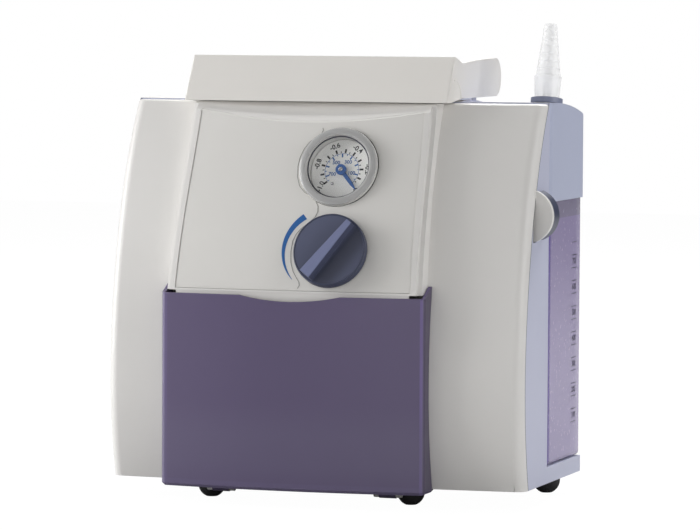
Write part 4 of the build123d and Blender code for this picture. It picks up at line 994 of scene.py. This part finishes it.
@dataclass
class Regulator(Group):
    """Vacuum regulator: knob, stem, valve body and needle."""

    NODES = {Finish.KNOB: ("regulator_knob",), Finish.BRASS: ("regulator_body",),
             Finish.STEEL: ("regulator_stem", "regulator_needle")}

    lip_lift: float = 1.2
    lip: Tuple[Point, ...] = ((24.6, 5.9), (25.2, 6.3), (25.9, 6.1), (26.2, 5.2), (26.2, 0.3),
                              (26.02, 0.3), (26.02, 4.7), (24.9, 5.85))

    def build(self) -> None:
        """Raised outer lip of the knob."""
        plane = PanelFace.plane(KNOB_X, KNOB_Z, self.lip_lift)
        Shape().lathe(self.lip, plane, 128).make("knob_lip", Finish.PEG, "knob")


class Pocket(Group):
    """Tinted accessory pocket on its two hinges."""

    NODES = {Finish.POCKET: ("accessory_pocket",)}


@dataclass
class Handle(Group):
    """Swinging handle."""

    NODES = {Finish.HANDLE: ("handle",)}

    lip_x: float = 97.55
    lip_y: float = 24.0
    lip_z: float = 284.0
    lip_radius: float = 13.7
    lip_half: float = 0.55
    lip_proud: float = 0.6
    lip_start: float = 4.0
    lip_sweep: float = 96.0

    def build(self) -> None:
        """Quarter-round lip moulded on each end of the grip."""
        radii = (self.lip_radius - self.lip_half, self.lip_radius + self.lip_half)
        for side, name in ((-1, "handle_lip_left"), (1, "handle_lip_right")):
            x = CONSOLE_MIDDLE + side * self.lip_x
            rows = []
            for share in shares(25):
                angle = math.radians(self.lip_start + self.lip_sweep * share)
                rows.append([place(x, self.lip_y + r * math.cos(angle),
                                   self.lip_z + r * math.sin(angle)) for r in radii])
            lip = Shape().sheet(rows, Vector((side * self.lip_proud * MM, 0, 0)))
            lip.make(name, Finish.HANDLE, "handle")


@dataclass
class Jar(Group):
    """Docked jar with its printed scale, the lid above it and the hose connector."""

    NODES = {Finish.JAR: ("suction_jar",), Finish.LID: ("jar_lid",),
             Finish.SLATE: ("spout_ring",), Finish.CONNECTOR: ("hose_connector",),
             Finish.RUBBER: ("lid_seal", "docking_seal"),
             Finish.WHITE: ("float_cage", "overflow_float", "bacteria_filter", "docking_nozzle")}

    face_x: float = 151.8
    mark_y: float = 112.0
    mark_half: Point = (6.5, 0.3)
    lowest: float = 51.5
    spacing: float = 9.25
    marks: int = 15
    ink: float = 0.06
    numeral_size: float = 6.2
    numeral_stretch: float = 1.1
    first_volume: int = 100
    volume_step: int = 50

    def build(self) -> None:
        """Volume scale on the jar's right face, with a number over every second mark."""
        scale, words = Shape(), []
        turn = Matrix(((0, 0, 1), (1, 0, 0), (0, 1, 0))).to_4x4()
        widen = Matrix.Diagonal((self.numeral_stretch, 1, 1, 1))
        long, thick = self.mark_half
        for step in range(self.marks):
            z = self.lowest + step * self.spacing
            corners = [place(self.face_x, self.mark_y + dy * long, z + dz * thick)
                       for dy, dz in SQUARE]
            scale.slab(corners, Vector((self.ink * MM, 0, 0)))
            if step % 2 == 0 and step < self.marks - 1:
                spot = Matrix.Translation(place(self.face_x + self.ink / 2, self.mark_y,
                                                z + self.spacing / 2))
                words.append((str(self.first_volume + self.volume_step * step),
                              spot @ turn @ widen, self.numeral_size * MM))
        scale.numerals(words, self.ink * MM)
        scale.make("jar_scale", Finish.VIOLET_INK, "jar", smooth=False)


class Works(Group):
    """Pump, drive and supply inside the housing, and the mains fittings at its back."""

    NODES = {
        Finish.ALUMINIUM: ("pump_motor", "connecting_rod", "pump_head", "head_cover"),
        Finish.STEEL: ("motor_shaft", "eccentric", "pump_bracket", "valve_plate", "head_bolts"),
        Finish.RUBBER: ("rubber_mounts", "diaphragm"), Finish.BOARD: ("power_board",),
        Finish.BLACK: ("cooling_fan", "silencer", "mains_inlet", "switch_frame", "mains_switch")}


@dataclass
class Studio:
    """Camera of the photograph, soft lights, pale floor and white surroundings."""

    azimuth: float = 18.171
    pitch: float = 3.58
    roll: float = 0.287
    focal_pixels: float = 4265.01
    picture_pixels: int = 700
    sensor: float = 36.0
    eye: Vector = field(default_factory=lambda: place(953.32, -2847.14, 354.96))
    target: Vector = field(default_factory=lambda: Vector((0.0, 0.0, 0.16)))
    lamps: Tuple[Tuple[str, Tuple[float, float, float], float, float], ...] = (
        ("key", (-1.7, -1.7, 1.7), 1.6, 12.5), ("left", (-2.6, -0.6, 0.7), 1.8, 72.0),
        ("right", (2.6, -0.5, 1.0), 1.8, 29.0), ("back", (0.1, 1.4, 2.0), 1.6, 80.0),
        ("front", (0.4, -2.9, 0.5), 1.8, 14.0))
    room_light: float = 0.04
    floor_half: float = 4.0
    floor_drop: float = 0.0004
    floor_glow: float = 1.06
    glow_share: float = 0.93

    def camera(self) -> None:
        """Camera at the photograph's place and length."""
        az, el, roll = (math.radians(v) for v in (self.azimuth, self.pitch, self.roll))
        ahead = Vector((-math.sin(az) * math.cos(el), math.cos(az) * math.cos(el), -math.sin(el)))
        level = Vector((math.cos(az), math.sin(az), 0.0))
        upright = level.cross(ahead)
        right = math.cos(roll) * level + math.sin(roll) * upright
        up = math.cos(roll) * upright - math.sin(roll) * level
        data = bpy.data.cameras.new("camera")
        data.sensor_fit = "HORIZONTAL"
        data.sensor_width = self.sensor
        data.lens = self.focal_pixels / self.picture_pixels * self.sensor
        data.clip_end = 50.0
        item = add("camera", data)
        turn = Matrix((right, up, -ahead)).transposed().to_4x4()
        item.matrix_world = Matrix.Translation(self.eye) @ turn
        bpy.context.scene.camera = item

    def lamp(self, name: str, start: Vector, size: float, power: float) -> None:
        """Square soft lamp that faces the unit."""
        data = bpy.data.lights.new(name, "AREA")
        data.shape = "SQUARE"
        data.size = size
        data.energy = power
        turn = (self.target - start).to_track_quat("-Z", "Y").to_matrix().to_4x4()
        add(name, data).matrix_world = Matrix.Translation(start) @ turn

    def surroundings(self) -> None:
        """White world for the camera, softer light for the object."""
        world = bpy.data.worlds.new("studio")
        bpy.context.scene.world = world
        book = ShaderBook(world)
        path = book.node("ShaderNodeLightPath").outputs
        seen = book.node("ShaderNodeMath", {"operation": "MAXIMUM"},
                         {0: path["Is Camera Ray"], 1: path["Is Transmission Ray"]})
        soft, white = (book.node("ShaderNodeBackground", {}, {
            "Color": rgba((1.0, 1.0, 1.0)), "Strength": strength}).outputs[0]
            for strength in (self.room_light, 1.0))
        mix = book.node("ShaderNodeMixShader", {}, {0: seen.outputs[0], 1: soft, 2: white})
        book.node("ShaderNodeOutputWorld", {}, {"Surface": mix.outputs[0]})

    def floor(self) -> None:
        """Pale floor that keeps the unit's shadow."""
        work = bmesh.new()
        work.faces.new([work.verts.new((x * self.floor_half, y * self.floor_half,
                                        -self.floor_drop)) for x, y in SQUARE])
        mesh = bpy.data.meshes.new("floor")
        work.to_mesh(mesh)
        work.free()
        item = add("floor", mesh)
        surface = bpy.data.materials.new("floor")
        book = ShaderBook(surface)
        cloud = book.noise(3.0, 3.0)
        matt = book.node("ShaderNodeBsdfDiffuse", {}, {
            "Color": book.blend(cloud, (0.50, 0.50, 0.50, 1.0), (0.52, 0.52, 0.52, 1.0)),
            "Normal": book.bump(book.noise(300.0, 2.0), 0.00005, 0.0001)})
        glow = book.node("ShaderNodeEmission", {},
                         {"Color": (1, 1, 1, 1), "Strength": self.floor_glow})
        seen = Signal(book, book.node("ShaderNodeLightPath").outputs["Is Camera Ray"])
        mixed = book.node("ShaderNodeMixShader", {}, {
            0: seen * self.glow_share, 1: matt.outputs[0], 2: glow.outputs[0]})
        book.node("ShaderNodeOutputMaterial", {}, {"Surface": mixed.outputs[0]})
        mesh.materials.append(surface)

    def build(self) -> None:
        """Set up the whole studio."""
        self.camera()
        self.surroundings()
        self.floor()
        for name, start, size, power in self.lamps:
            self.lamp(name, Vector(start), size, power)
        bpy.context.scene.view_settings.view_transform = "Standard"


def main() -> None:
    """Dress the parts, build the added pieces and set up the studio."""
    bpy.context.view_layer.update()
    groups = (Housing(), FrontPanel(), Gauge(), Regulator(), Pocket(), Handle(), Jar(), Works())
    for group in groups:
        group.dress()
    for group in groups:
        group.build()
    Studio().build()
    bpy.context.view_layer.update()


if __name__ == "__main__":
    main()
